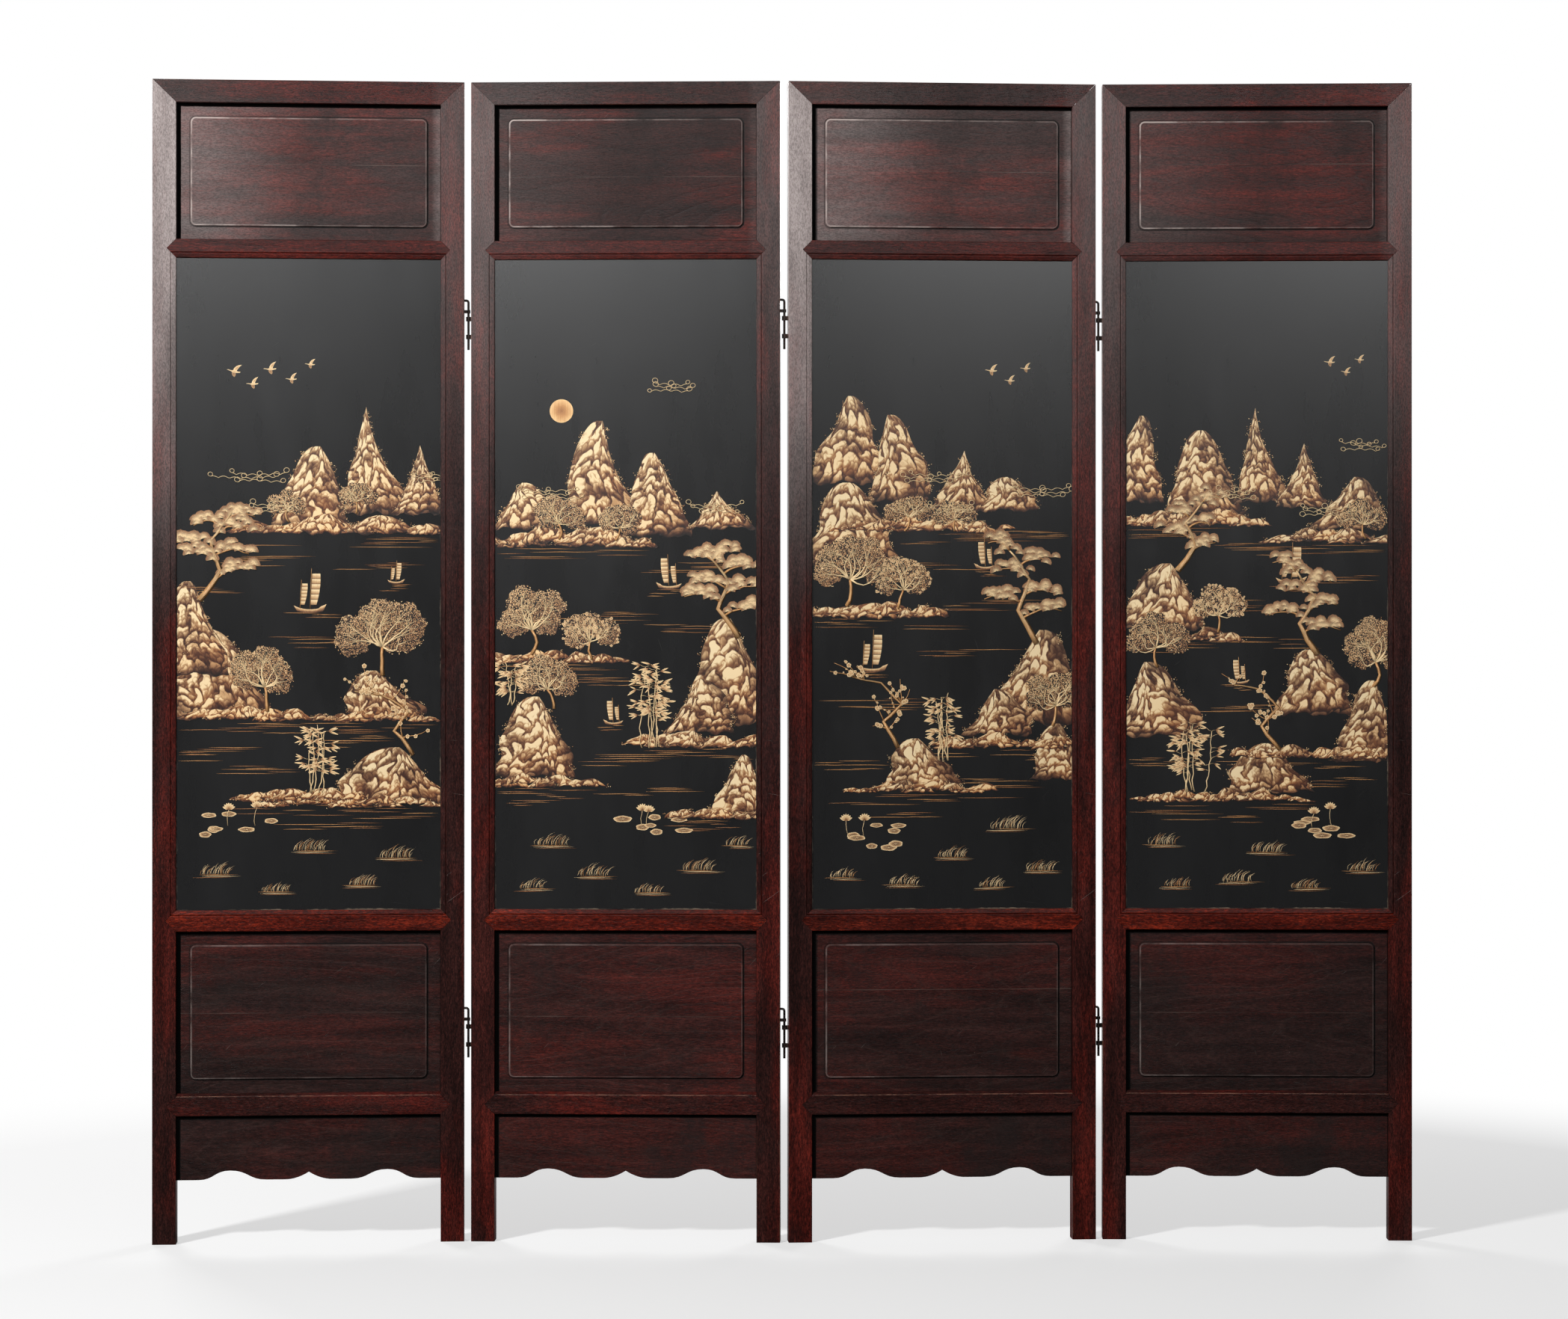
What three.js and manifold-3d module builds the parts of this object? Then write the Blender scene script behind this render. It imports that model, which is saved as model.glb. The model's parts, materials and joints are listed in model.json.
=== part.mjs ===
// A folding screen of four framed leaves. Each leaf is a hardwood frame with mitred and
// pointed-shoulder joints, two wooden panels with raised fields, a lacquered board and a
// shaped apron. Neighbouring leaves hang together on lift-off iron hinges: a hanging pin on
// one edge drops through two eyes on the next.
// Millimetres and degrees. +Z is up, the fronts face -Y, and the origin is on the floor
// under the middle of the standing screen.

import * as THREE from "three";
import { mergeVertices } from "three/addons/utils/BufferGeometryUtils.js";
import Module from "manifold-3d";

const wasm = await Module();
wasm.setup();

// The row of leaves, from left to right.
const leafNames = ["leaf_1", "leaf_2", "leaf_3", "leaf_4"];
const leafWidth = 500;
const leafHeight = 1875;
const leafThickness = 30;
const leafTurn = 3; // each leaf's turn off the line of the row, one way and the other by turns

// Frame members, as their faces show.
const stileWidth = 38;
const topRailHeight = 37;
const upperRailHeight = 30;
const middleRailHeight = 34;
const bottomRailHeight = 36;

// Heights between them. The lacquered board takes what is left of the leaf.
const floorClearance = 102;
const apronHeight = 104;
const lowerOpeningHeight = 261;
const topOpeningHeight = 220;

// Joinery. A setback is measured from the frame's front face.
const jointGap = 0.3;
const tenonSetback = 11;
const tenonThickness = 10;
const tenonLength = 24;
const topTenonCover = 8; // wood of the top rail over the stile's tenon
const shoulderDepth = 8; // thickness of the pointed shoulders
const grooveDepth = 6;
const panelPlay = 1; // room for the wood to move at the bottom of each groove
const grooveWall = 3; // wood between a groove and the tenon beside it

// Panels with a raised field.
const panelSetback = 11;
const panelTongue = 8;
const fieldMargin = 22;
const fieldRise = 3.2;
const fieldCorner = 9;
const fieldEase = 1.2; // chamfer round the field

// Lacquered board and the battens let into its back.
const boardSetback = 5;
const boardThickness = 12;
const battenNames = ["lower_batten", "upper_batten"];
const battenWidth = 28;
const battenProud = 9;
const dovetailNeck = 20;
const dovetailTail = 24;
const dovetailDepth = 5;
const battenTenonLength = 10;
const battenTenonShoulder = 4; // wood cut away above and below the batten's tenon
const battenTenonSetback = 2.5; // from the board's back to the batten's tenon

// Bead that runs round the lacquered board on the frame.
const beadWidth = 9;
const beadDrop = 1.6;
const beadLip = 0.4;
const beadLineWidth = 1.6;
const beadLineDepth = 1.4;
const railChamfer = 4.5; // front top edge of the bottom rail

// Apron. Distances across are measured from the middle of the leaf.
const apronSetback = 9;
const apronThickness = 12;
const cuspRise = 12;
const cuspLobeEnd = 38;
const innerFlatEnd = 68;
const archMiddle = 126;
const archRise = 15;
const archEnd = 177;

// Hinges. A level is the middle of the staple that holds the hanging pin to the edge.
const hingeLevels = { upper: 1505, lower: 358 };
const pinDiameter = 3.8;
const pinOffset = 6.5; // pin's axis from the edge that carries it
const pinRise = 18;
const pinDrop = 62;
const pinBend = 4;
const pinTangLength = 20;
const eyeOffset = 6; // pin's axis from the edge that carries the eyes
const eyeClearance = 0.4;
const eyeHeight = 7;
const firstEyeDrop = 12;
const secondEyeDrop = 41;
const stapleHeight = 5;
const strapThickness = 1.6;
const strapShankLength = 18;
const eyePlateWidth = 7; // plate under a pair of eyes, let in flush with the edge
const eyePlateEnd = 4; // how far the plate runs past each eye
const roundSides = 12;

// Levels and places worked out from the sizes above.
const bottomRailZ = floorClearance + apronHeight;
const lowerOpeningZ = bottomRailZ + bottomRailHeight;
const middleRailZ = lowerOpeningZ + lowerOpeningHeight;
const boardOpeningZ = middleRailZ + middleRailHeight;
const topRailZ = leafHeight - topRailHeight;
const topOpeningZ = topRailZ - topOpeningHeight;
const upperRailZ = topOpeningZ - upperRailHeight;
const boardOpeningHeight = upperRailZ - boardOpeningZ;
const farStileX = leafWidth - stileWidth;
const tongueLength = grooveDepth - panelPlay;
const tenonInset = grooveDepth + grooveWall;
const frontY = -leafThickness / 2;
const backY = leafThickness / 2;
const boardBackY = frontY + boardSetback + boardThickness;
const cutMargin = 1; // how far a cut runs past the face it opens
const weldDistance = 1e-4;

const openings = {
  apron: { z: floorClearance, height: apronHeight, setback: apronSetback, thickness: apronThickness },
  lower: { z: lowerOpeningZ, height: lowerOpeningHeight, setback: panelSetback, thickness: panelTongue },
  board: { z: boardOpeningZ, height: boardOpeningHeight, setback: boardSetback, thickness: boardThickness },
  top: { z: topOpeningZ, height: topOpeningHeight, setback: panelSetback, thickness: panelTongue },
};

const crossRails = {
  upper_rail: { z: upperRailZ, height: upperRailHeight, chamfer: 0, beadOn: "bottom" },
  middle_rail: { z: middleRailZ, height: middleRailHeight, chamfer: 0, beadOn: "top" },
  bottom_rail: { z: bottomRailZ, height: bottomRailHeight, chamfer: railChamfer, beadOn: "none" },
};

// Solids from three.js geometry, and back.

function toSolid(geometry) {
  const bare = geometry.clone();
  bare.deleteAttribute("normal");
  bare.deleteAttribute("uv");
  const welded = mergeVertices(bare, weldDistance);
  const mesh = new wasm.Mesh({
    numProp: 3,
    vertProperties: welded.attributes.position.array,
    triVerts: new Uint32Array(welded.index.array),
  });
  return new wasm.Manifold(mesh);
}

function toGeometry(solid) {
  const mesh = solid.getMesh();
  const geometry = new THREE.BufferGeometry();
  geometry.setAttribute("position", new THREE.BufferAttribute(mesh.vertProperties, 3));
  geometry.setIndex(new THREE.BufferAttribute(mesh.triVerts, 1));
  geometry.computeVertexNormals();
  return geometry;
}

function join(solid, additions) {
  return additions.reduce((whole, piece) => whole.add(piece), solid);
}

function cut(solid, cutters) {
  return cutters.reduce((rest, cutter) => rest.subtract(cutter), solid);
}

// A box between two corners, whichever way round their x values are.
function box(xRange, yRange, zRange) {
  const ranges = [xRange, yRange, zRange];
  const lengths = ranges.map(([from, to]) => Math.abs(to - from));
  const middles = ranges.map(([from, to]) => (from + to) / 2);
  return toSolid(new THREE.BoxGeometry(...lengths).translate(...middles));
}

function extrude(points, length) {
  const outline = new THREE.Shape(points.map(([across, up]) => new THREE.Vector2(across, up)));
  return new THREE.ExtrudeGeometry(outline, { depth: length, bevelEnabled: false });
}

// Prism of an outline in x and y, along z.
function prismAlongZ(points, zRange) {
  return toSolid(extrude(points, zRange[1] - zRange[0]).translate(0, 0, zRange[0]));
}

// Prism of an outline in x and z, along y.
function prismAlongY(points, yRange) {
  const geometry = extrude(points, yRange[1] - yRange[0]);
  return toSolid(geometry.rotateX(Math.PI / 2).translate(0, yRange[1], 0));
}

// Prism of an outline in y and z, along x.
function prismAlongX(points, xRange) {
  const turn = new THREE.Matrix4().makeBasis(
    new THREE.Vector3(0, 1, 0),
    new THREE.Vector3(0, 0, 1),
    new THREE.Vector3(1, 0, 0),
  );
  const geometry = extrude(points, xRange[1] - xRange[0]);
  return toSolid(geometry.applyMatrix4(turn).translate(xRange[0], 0, 0));
}

function rod(radius, zRange) {
  const length = zRange[1] - zRange[0];
  const geometry = new THREE.CylinderGeometry(radius, radius, length, roundSides);
  return geometry.rotateX(Math.PI / 2).translate(0, 0, zRange[0] + length / 2);
}

// Joints that two members share. A gap of 0 gives the male half, and jointGap its socket.

// The room that a panel and its grooves take in the frame.
function panelRoom(opening) {
  const isApron = opening === openings.apron;
  const low = isApron ? opening.z - jointGap : opening.z - grooveDepth;
  return box(
    [stileWidth - grooveDepth, farStileX + grooveDepth],
    [frontY + opening.setback - jointGap, frontY + opening.setback + opening.thickness + jointGap],
    [low, opening.z + opening.height + grooveDepth],
  );
}

function mirrorAcross(points) {
  return points.map(([x, z]) => [leafWidth - x, z]);
}

// Pointed shoulder of a cross rail: a right-angled point laid into the stile's face.
function shoulderPoint(rail, gap) {
  const faceHeight = rail.height - rail.chamfer;
  const reach = faceHeight / 2;
  const spread = gap * Math.SQRT2;
  const root = reach + spread + cutMargin;
  const middle = rail.z + reach;
  return [
    [stileWidth + cutMargin, middle - root],
    [stileWidth - reach - spread, middle],
    [stileWidth + cutMargin, middle + root],
  ];
}

function railTenons(rail, gap) {
  const y = [frontY + tenonSetback - gap, frontY + tenonSetback + tenonThickness + gap];
  const z = [rail.z + tenonInset - gap, rail.z + rail.height - tenonInset + gap];
  const tip = stileWidth - tenonLength - gap;
  const root = stileWidth + jointGap + cutMargin;
  return [box([tip, root], y, z), box([leafWidth - tip, leafWidth - root], y, z)];
}

// Tenon on top of the stile, inside the mitred corner.
function stileTenon(side, gap) {
  const across = (x) => (side === "left" ? x : leafWidth - x);
  const xRange = [tenonInset - gap, stileWidth - tenonInset + gap];
  return box(
    xRange.map(across),
    [frontY + tenonSetback - gap, frontY + tenonSetback + tenonThickness + gap],
    [topRailZ, leafHeight - topTenonCover + gap],
  );
}

// Middles of the battens, spread evenly over the board.
function battenMiddles() {
  const spacing = boardOpeningHeight / battenNames.length;
  return battenNames.map((name, index) => boardOpeningZ + spacing * (index + 0.5));
}

function battenTenons(middle, gap) {
  const y = [boardBackY + battenTenonSetback - gap, boardBackY + battenProud - jointGap + gap];
  const half = battenWidth / 2 - battenTenonShoulder + gap;
  const tip = stileWidth - battenTenonLength - gap;
  const root = stileWidth + jointGap + cutMargin;
  const z = [middle - half, middle + half];
  return [box([tip, root], y, z), box([leafWidth - tip, leafWidth - root], y, z)];
}

// Half width of the dovetail at a depth into the board's back.
function dovetailHalf(depth) {
  const flare = (dovetailTail - dovetailNeck) / 2 / dovetailDepth;
  return dovetailNeck / 2 + flare * depth;
}

// Bead round the lacquered board: distances into the frame from the opening, and setbacks.
function beadOutline() {
  return [
    [-cutMargin, -cutMargin],
    [-cutMargin, beadDrop],
    [0, beadDrop],
    [beadWidth - beadLineWidth, beadLip],
    [beadWidth - beadLineWidth / 2, beadLineDepth],
    [beadWidth, 0],
    [beadWidth, -cutMargin],
  ];
}

// Hinge ironwork, about the pin's axis at x = 0 and with its edge of wood towards +x.

const pinRadius = pinDiameter / 2;
const eyeInner = pinRadius + eyeClearance;

function strapRing(inner, height) {
  const outer = inner + strapThickness;
  const profile = [
    new THREE.Vector2(inner, -height / 2),
    new THREE.Vector2(outer, -height / 2),
    new THREE.Vector2(outer, height / 2),
    new THREE.Vector2(inner, height / 2),
    new THREE.Vector2(inner, -height / 2),
  ];
  return toSolid(new THREE.LatheGeometry(profile, roundSides).rotateX(Math.PI / 2));
}

// The doubled end of a strap, driven into the wood.
function strapShank(inner, height, offset, gap) {
  return box(
    [inner + strapThickness / 2, offset + strapShankLength + gap],
    [-strapThickness - gap, strapThickness + gap],
    [-height / 2 - gap, height / 2 + gap],
  );
}

// Two eyes on one plate. Their levels are measured from the staple above them.
function eyePair(gap) {
  const drops = [firstEyeDrop, secondEyeDrop];
  const plate = box(
    [eyeOffset - gap, eyeOffset + strapThickness + gap],
    [-eyePlateWidth / 2 - gap, eyePlateWidth / 2 + gap],
    [-secondEyeDrop - eyeHeight / 2 - eyePlateEnd - gap, -firstEyeDrop + eyeHeight / 2 + eyePlateEnd + gap],
  );
  const shanks = drops.map((drop) => moved(strapShank(eyeInner, eyeHeight, eyeOffset, gap), 0, -drop));
  const rings = drops.map((drop) => moved(strapRing(eyeInner, eyeHeight), 0, -drop));
  return join(plate, gap === 0 ? [...shanks, ...rings] : shanks);
}

// Hanging pin: a straight rod, bent over at the top and driven into the edge.
function bentRod(gap) {
  const radius = pinRadius + gap;
  const overlap = 0.2;
  const bendLow = pinRise - pinBend;
  const drop = rod(radius, [-pinDrop, bendLow + overlap]);
  const tang = rod(radius, [pinBend - overlap, pinOffset + pinTangLength + gap]);
  const path = new THREE.QuadraticBezierCurve3(
    new THREE.Vector3(0, 0, bendLow),
    new THREE.Vector3(0, 0, pinRise),
    new THREE.Vector3(pinBend, 0, pinRise),
  );
  const section = new THREE.Shape();
  section.absarc(0, 0, radius, 0, 2 * Math.PI);
  const bend = new THREE.ExtrudeGeometry(section, {
    steps: 5,
    curveSegments: roundSides / 2,
    extrudePath: path,
    bevelEnabled: false,
  });
  tang.rotateY(Math.PI / 2).translate(0, 0, pinRise);
  return join(toSolid(drop), [toSolid(tang), toSolid(bend)]);
}

// The pin with the staple that is clenched round it and driven into the same edge.
function hangingPin() {
  const grip = pinRadius - strapThickness / 4;
  return join(bentRod(0), [strapRing(grip, stapleHeight), strapShank(grip, stapleHeight, pinOffset, 0)]);
}

function moved(solid, x, z) {
  return toSolid(toGeometry(solid).translate(x, 0, z));
}

// Ironwork on a right edge has its wood towards -x.
function onRightEdge(solid, level) {
  return toSolid(toGeometry(solid).rotateZ(Math.PI).translate(leafWidth + pinOffset, 0, level));
}

function onLeftEdge(solid, level) {
  return moved(solid, -eyeOffset, level);
}

// Holes in a stile's outer edge for the ironwork that it carries.
function ironworkHoles(ironwork) {
  const levels = Object.values(hingeLevels);
  if (ironwork === "pins") {
    const stapleHole = strapShank(pinRadius, stapleHeight, pinOffset, jointGap);
    return levels.flatMap((level) => [bentRod(jointGap), stapleHole].map((hole) => onRightEdge(hole, level)));
  }
  if (ironwork === "eyes") return levels.map((level) => onLeftEdge(eyePair(jointGap), level));
  return [];
}

// Wooden pieces, in the leaf's own frame: x from its left edge, y from mid-thickness.

function makeStile(side, ironwork) {
  const across = (x) => (side === "left" ? x : leafWidth - x);
  const outline = [
    [0, 0],
    [stileWidth, 0],
    [stileWidth, topRailZ],
    [0, leafHeight],
  ];
  const whole = prismAlongY(outline.map(([x, z]) => [across(x), z]), [frontY, backY]);
  const rails = Object.values(crossRails);
  const notches = rails.map((rail) => {
    const point = shoulderPoint(rail, jointGap);
    const placed = side === "left" ? point : mirrorAcross(point);
    return prismAlongY(placed, [frontY - cutMargin, frontY + shoulderDepth + jointGap]);
  });
  const beadPoints = beadOutline().map(([inward, setback]) => [across(stileWidth - inward), frontY + setback]);
  const beadRun = [boardOpeningZ - beadWidth, upperRailZ + beadWidth];
  return cut(whole.add(stileTenon(side, 0)), [
    ...Object.values(openings).map(panelRoom),
    ...rails.flatMap((rail) => railTenons(rail, jointGap)),
    ...notches,
    ...battenMiddles().flatMap((middle) => battenTenons(middle, jointGap)),
    prismAlongZ(beadPoints, beadRun),
    ...ironworkHoles(ironwork),
  ]);
}

function makeTopRail() {
  const mitreShift = (jointGap * Math.hypot(stileWidth, topRailHeight)) / topRailHeight;
  const outline = [
    [stileWidth + mitreShift, topRailZ],
    [farStileX - mitreShift, topRailZ],
    [leafWidth - mitreShift, leafHeight],
    [mitreShift, leafHeight],
  ];
  const whole = prismAlongY(outline, [frontY, backY]);
  return cut(whole, [panelRoom(openings.top), stileTenon("left", jointGap), stileTenon("right", jointGap)]);
}

function railBead(rail) {
  const onTop = rail.beadOn === "top";
  const edge = onTop ? rail.z + rail.height : rail.z;
  const towardsRail = onTop ? -1 : 1;
  const points = beadOutline().map(([inward, setback]) => [frontY + setback, edge + towardsRail * inward]);
  return prismAlongX(points, [stileWidth - beadWidth, farStileX + beadWidth]);
}

function railChamferCut(rail) {
  const top = rail.z + rail.height;
  const points = [
    [frontY - cutMargin, top - rail.chamfer - cutMargin],
    [frontY + rail.chamfer + cutMargin, top + cutMargin],
    [frontY - cutMargin, top + cutMargin],
  ];
  return prismAlongX(points, [stileWidth, farStileX]);
}

function makeCrossRail(rail) {
  const length = [stileWidth + jointGap, farStileX - jointGap];
  const body = box(length, [frontY, backY], [rail.z, rail.z + rail.height]);
  const leftPoint = shoulderPoint(rail, 0);
  const faceTop = rail.z + rail.height - rail.chamfer;
  const [, leftTip] = leftPoint;
  const [rightTip] = mirrorAcross([leftTip]);
  const face = [
    [stileWidth, rail.z],
    leftTip,
    [stileWidth, faceTop],
    [farStileX, faceTop],
    rightTip,
    [farStileX, rail.z],
  ];
  const pointed = prismAlongY(face, [frontY, frontY + shoulderDepth]);
  const cutters = Object.values(openings).map(panelRoom);
  if (rail.beadOn !== "none") cutters.push(railBead(rail));
  if (rail.chamfer > 0) cutters.push(railChamferCut(rail));
  return cut(join(body, [pointed, ...railTenons(rail, 0)]), cutters);
}

// Panel in its grooves, with a raised field on its front.
function makeRaisedPanel(opening) {
  const tongueFront = frontY + opening.setback;
  const board = box(
    [stileWidth - tongueLength, farStileX + tongueLength],
    [tongueFront, tongueFront + opening.thickness],
    [opening.z - tongueLength, opening.z + opening.height + tongueLength],
  );
  const half = new THREE.Vector2(
    (farStileX - stileWidth) / 2 - fieldMargin - fieldEase,
    opening.height / 2 - fieldMargin - fieldEase,
  );
  const corner = fieldCorner - fieldEase;
  const straight = half.clone().subScalar(corner);
  const field = new THREE.Shape();
  field.absarc(straight.x, straight.y, corner, 0, Math.PI / 2);
  field.absarc(-straight.x, straight.y, corner, Math.PI / 2, Math.PI);
  field.absarc(-straight.x, -straight.y, corner, Math.PI, 1.5 * Math.PI);
  field.absarc(straight.x, -straight.y, corner, 1.5 * Math.PI, 2 * Math.PI);
  const raised = new THREE.ExtrudeGeometry(field, {
    depth: fieldRise - fieldEase + cutMargin,
    curveSegments: 5,
    bevelThickness: fieldEase,
    bevelSize: fieldEase,
    bevelSegments: 1,
  });
  // The bevel at the root is inside the board.
  const middle = [leafWidth / 2, tongueFront + cutMargin, opening.z + opening.height / 2];
  raised.rotateX(Math.PI / 2).translate(...middle);
  return board.add(toSolid(raised));
}

function makeLacquerBoard() {
  const board = box(
    [stileWidth - tongueLength, farStileX + tongueLength],
    [frontY + boardSetback, boardBackY],
    [boardOpeningZ - tongueLength, upperRailZ + tongueLength],
  );
  const mouth = dovetailHalf(-cutMargin) + jointGap;
  const tail = dovetailHalf(dovetailDepth + jointGap) + jointGap;
  const slots = battenMiddles().map((middle) => {
    const points = [
      [boardBackY + cutMargin, middle - mouth],
      [boardBackY + cutMargin, middle + mouth],
      [boardBackY - dovetailDepth - jointGap, middle + tail],
      [boardBackY - dovetailDepth - jointGap, middle - tail],
    ];
    return prismAlongX(points, [0, leafWidth]);
  });
  return cut(board, slots);
}

function makeBatten(middle) {
  const body = battenWidth / 2;
  const neck = dovetailHalf(-jointGap);
  const tail = dovetailHalf(dovetailDepth);
  const points = [
    [boardBackY + jointGap, middle - body],
    [boardBackY + battenProud, middle - body],
    [boardBackY + battenProud, middle + body],
    [boardBackY + jointGap, middle + body],
    [boardBackY + jointGap, middle + neck],
    [boardBackY - dovetailDepth, middle + tail],
    [boardBackY - dovetailDepth, middle - tail],
    [boardBackY + jointGap, middle - neck],
  ];
  const batten = prismAlongX(points, [stileWidth + jointGap, farStileX - jointGap]);
  return join(batten, battenTenons(middle, 0));
}

// The apron's lower edge, from the left leg to the middle: a flat, a round arch, another flat
// and a lobe that meets its twin in a cusp. The right half is its mirror image.
function makeApron() {
  const middle = leafWidth / 2;
  const outline = new THREE.Shape();
  const base = floorClearance;
  const archFar = (archEnd - archMiddle) / 2;
  const archNear = (archMiddle - innerFlatEnd) / 2;
  const edge = [stileWidth - tongueLength, farStileX + tongueLength];
  const top = bottomRailZ + tongueLength;
  outline.moveTo(edge[0], top);
  outline.lineTo(edge[0], base);
  outline.lineTo(middle - archEnd, base);
  outline.bezierCurveTo(
    middle - archEnd + archFar,
    base,
    middle - archMiddle - archFar,
    base + archRise,
    middle - archMiddle,
    base + archRise,
  );
  outline.bezierCurveTo(
    middle - archMiddle + archNear,
    base + archRise,
    middle - innerFlatEnd - archNear,
    base,
    middle - innerFlatEnd,
    base,
  );
  outline.lineTo(middle - cuspLobeEnd, base);
  outline.quadraticCurveTo(middle - cuspLobeEnd / 2, base, middle, base + cuspRise);
  outline.quadraticCurveTo(middle + cuspLobeEnd / 2, base, middle + cuspLobeEnd, base);
  outline.lineTo(middle + innerFlatEnd, base);
  outline.bezierCurveTo(
    middle + innerFlatEnd + archNear,
    base,
    middle + archMiddle - archNear,
    base + archRise,
    middle + archMiddle,
    base + archRise,
  );
  outline.bezierCurveTo(
    middle + archMiddle + archFar,
    base + archRise,
    middle + archEnd - archFar,
    base,
    middle + archEnd,
    base,
  );
  outline.lineTo(edge[1], base);
  outline.lineTo(edge[1], top);
  const board = new THREE.ExtrudeGeometry(outline, {
    depth: apronThickness,
    curveSegments: 8,
    bevelEnabled: false,
  });
  return toSolid(board.rotateX(Math.PI / 2).translate(0, frontY + apronSetback + apronThickness, 0));
}

// Finishes, as they look in daylight.
const finishes = {
  frameWood: { color: 0x4e332e, roughness: 0.45, metalness: 0 },
  panelWood: { color: 0x40292a, roughness: 0.5, metalness: 0 },
  lacquer: { color: 0x1b1b1c, roughness: 0.2, metalness: 0 },
  backWood: { color: 0x2e211d, roughness: 0.75, metalness: 0 },
  iron: { color: 0x2f2320, roughness: 0.6, metalness: 0.8 },
};

function named(name, solid, finish) {
  const mesh = new THREE.Mesh(toGeometry(solid), new THREE.MeshStandardMaterial(finishes[finish]));
  mesh.name = name;
  return mesh;
}

function makeLeaf(leafName) {
  const leaf = new THREE.Group();
  const hasEyes = leafName !== leafNames[0];
  const hasPins = leafName !== leafNames.at(-1);
  const add = (name, solid, finish) => leaf.add(named(`${leafName}_${name}`, solid, finish));

  add("stile_left", makeStile("left", hasEyes ? "eyes" : "none"), "frameWood");
  add("stile_right", makeStile("right", hasPins ? "pins" : "none"), "frameWood");
  add("top_rail", makeTopRail(), "frameWood");
  for (const [name, rail] of Object.entries(crossRails)) add(name, makeCrossRail(rail), "frameWood");
  add("top_panel", makeRaisedPanel(openings.top), "panelWood");
  add("lower_panel", makeRaisedPanel(openings.lower), "panelWood");
  add("lacquer_board", makeLacquerBoard(), "lacquer");
  battenMiddles().forEach((middle, index) => add(battenNames[index], makeBatten(middle), "backWood"));
  add("apron", makeApron(), "panelWood");

  for (const [place, level] of Object.entries(hingeLevels)) {
    if (hasPins) add(`${place}_hinge_pin`, onRightEdge(hangingPin(), level), "iron");
    if (hasEyes) add(`${place}_hinge_eyes`, onLeftEdge(eyePair(0), level), "iron");
  }
  return leaf;
}

// The leaves stand in a shallow zigzag, joined at their pins' axes.
const screen = new THREE.Group();
const hinge = new THREE.Vector3();
leafNames.forEach((leafName, index) => {
  const turn = THREE.MathUtils.degToRad(index % 2 === 0 ? leafTurn : -leafTurn);
  const along = new THREE.Vector3(Math.cos(turn), Math.sin(turn), 0);
  const leaf = makeLeaf(leafName);
  leaf.rotation.z = turn;
  leaf.position.copy(hinge).addScaledVector(along, eyeOffset);
  hinge.addScaledVector(along, eyeOffset + leafWidth + pinOffset);
  screen.add(leaf);
});

const standing = new THREE.Box3().setFromObject(screen, true);
const middleOfRow = standing.getCenter(new THREE.Vector3());
for (const leaf of screen.children) leaf.position.sub(new THREE.Vector3(middleOfRow.x, middleOfRow.y, 0));

export default screen;
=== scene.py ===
import json
import math
import random

import bmesh
import bpy
from mathutils import Matrix, Vector


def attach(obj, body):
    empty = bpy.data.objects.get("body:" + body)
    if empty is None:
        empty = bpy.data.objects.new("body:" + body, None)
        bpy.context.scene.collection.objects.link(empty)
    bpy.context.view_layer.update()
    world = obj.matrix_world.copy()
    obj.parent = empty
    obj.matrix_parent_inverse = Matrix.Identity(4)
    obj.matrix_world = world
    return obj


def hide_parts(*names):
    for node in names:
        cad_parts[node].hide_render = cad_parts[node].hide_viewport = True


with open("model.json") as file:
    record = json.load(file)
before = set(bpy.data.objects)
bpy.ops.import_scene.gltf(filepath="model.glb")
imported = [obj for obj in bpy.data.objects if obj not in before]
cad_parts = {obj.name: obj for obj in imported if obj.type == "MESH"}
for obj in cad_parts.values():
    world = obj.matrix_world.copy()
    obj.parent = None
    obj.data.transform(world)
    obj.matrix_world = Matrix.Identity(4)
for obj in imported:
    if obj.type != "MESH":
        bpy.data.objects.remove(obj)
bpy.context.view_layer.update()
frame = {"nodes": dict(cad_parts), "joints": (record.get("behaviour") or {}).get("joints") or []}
print("frame loaded,", len(frame["nodes"]), "nodes")

mm = 0.001
scene = bpy.context.scene

# where the leaves stand

leafNames = ["leaf_1", "leaf_2", "leaf_3", "leaf_4"]
leafSize = {
    "width": 500, "stile": 38,
    "eyeOffset": 6, "pinOffset": 6.5,  # hinge axis from the edges either side of it
    "boardLow": 537, "boardHigh": 1588, "boardFace": -10,
    "lowerLow": 242, "lowerHigh": 503, "upperLow": 1618, "upperHigh": 1838, "apronHigh": 206,
}


def leafPlaces():
    pivots = [Vector(joint["pos_m"]) for joint in frame["joints"]]
    turns = [(b - a).normalized() for a, b in zip(pivots, pivots[1:])]
    mirror = Vector((1, -1, 1))  # neighbouring leaves lean opposite ways
    directions = [turns[0] * mirror, turns[0], turns[1], turns[1] * mirror]
    starts = [pivots[0] - directions[0] * (leafSize["width"] + leafSize["pinOffset"]) * mm]
    starts += [pivot + along * leafSize["eyeOffset"] * mm for pivot, along in zip(pivots, directions[1:])]
    places = {}
    for name, start, along in zip(leafNames, starts, directions):
        turn = Matrix.Rotation(math.atan2(along.y, along.x), 4, "Z")
        places[name] = Matrix.Translation((start.x, start.y, 0)) @ turn
    return places


leafPlace = leafPlaces()  # leaf's own frame: x from its left edge, y from mid thickness, z up

# node trees


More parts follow.
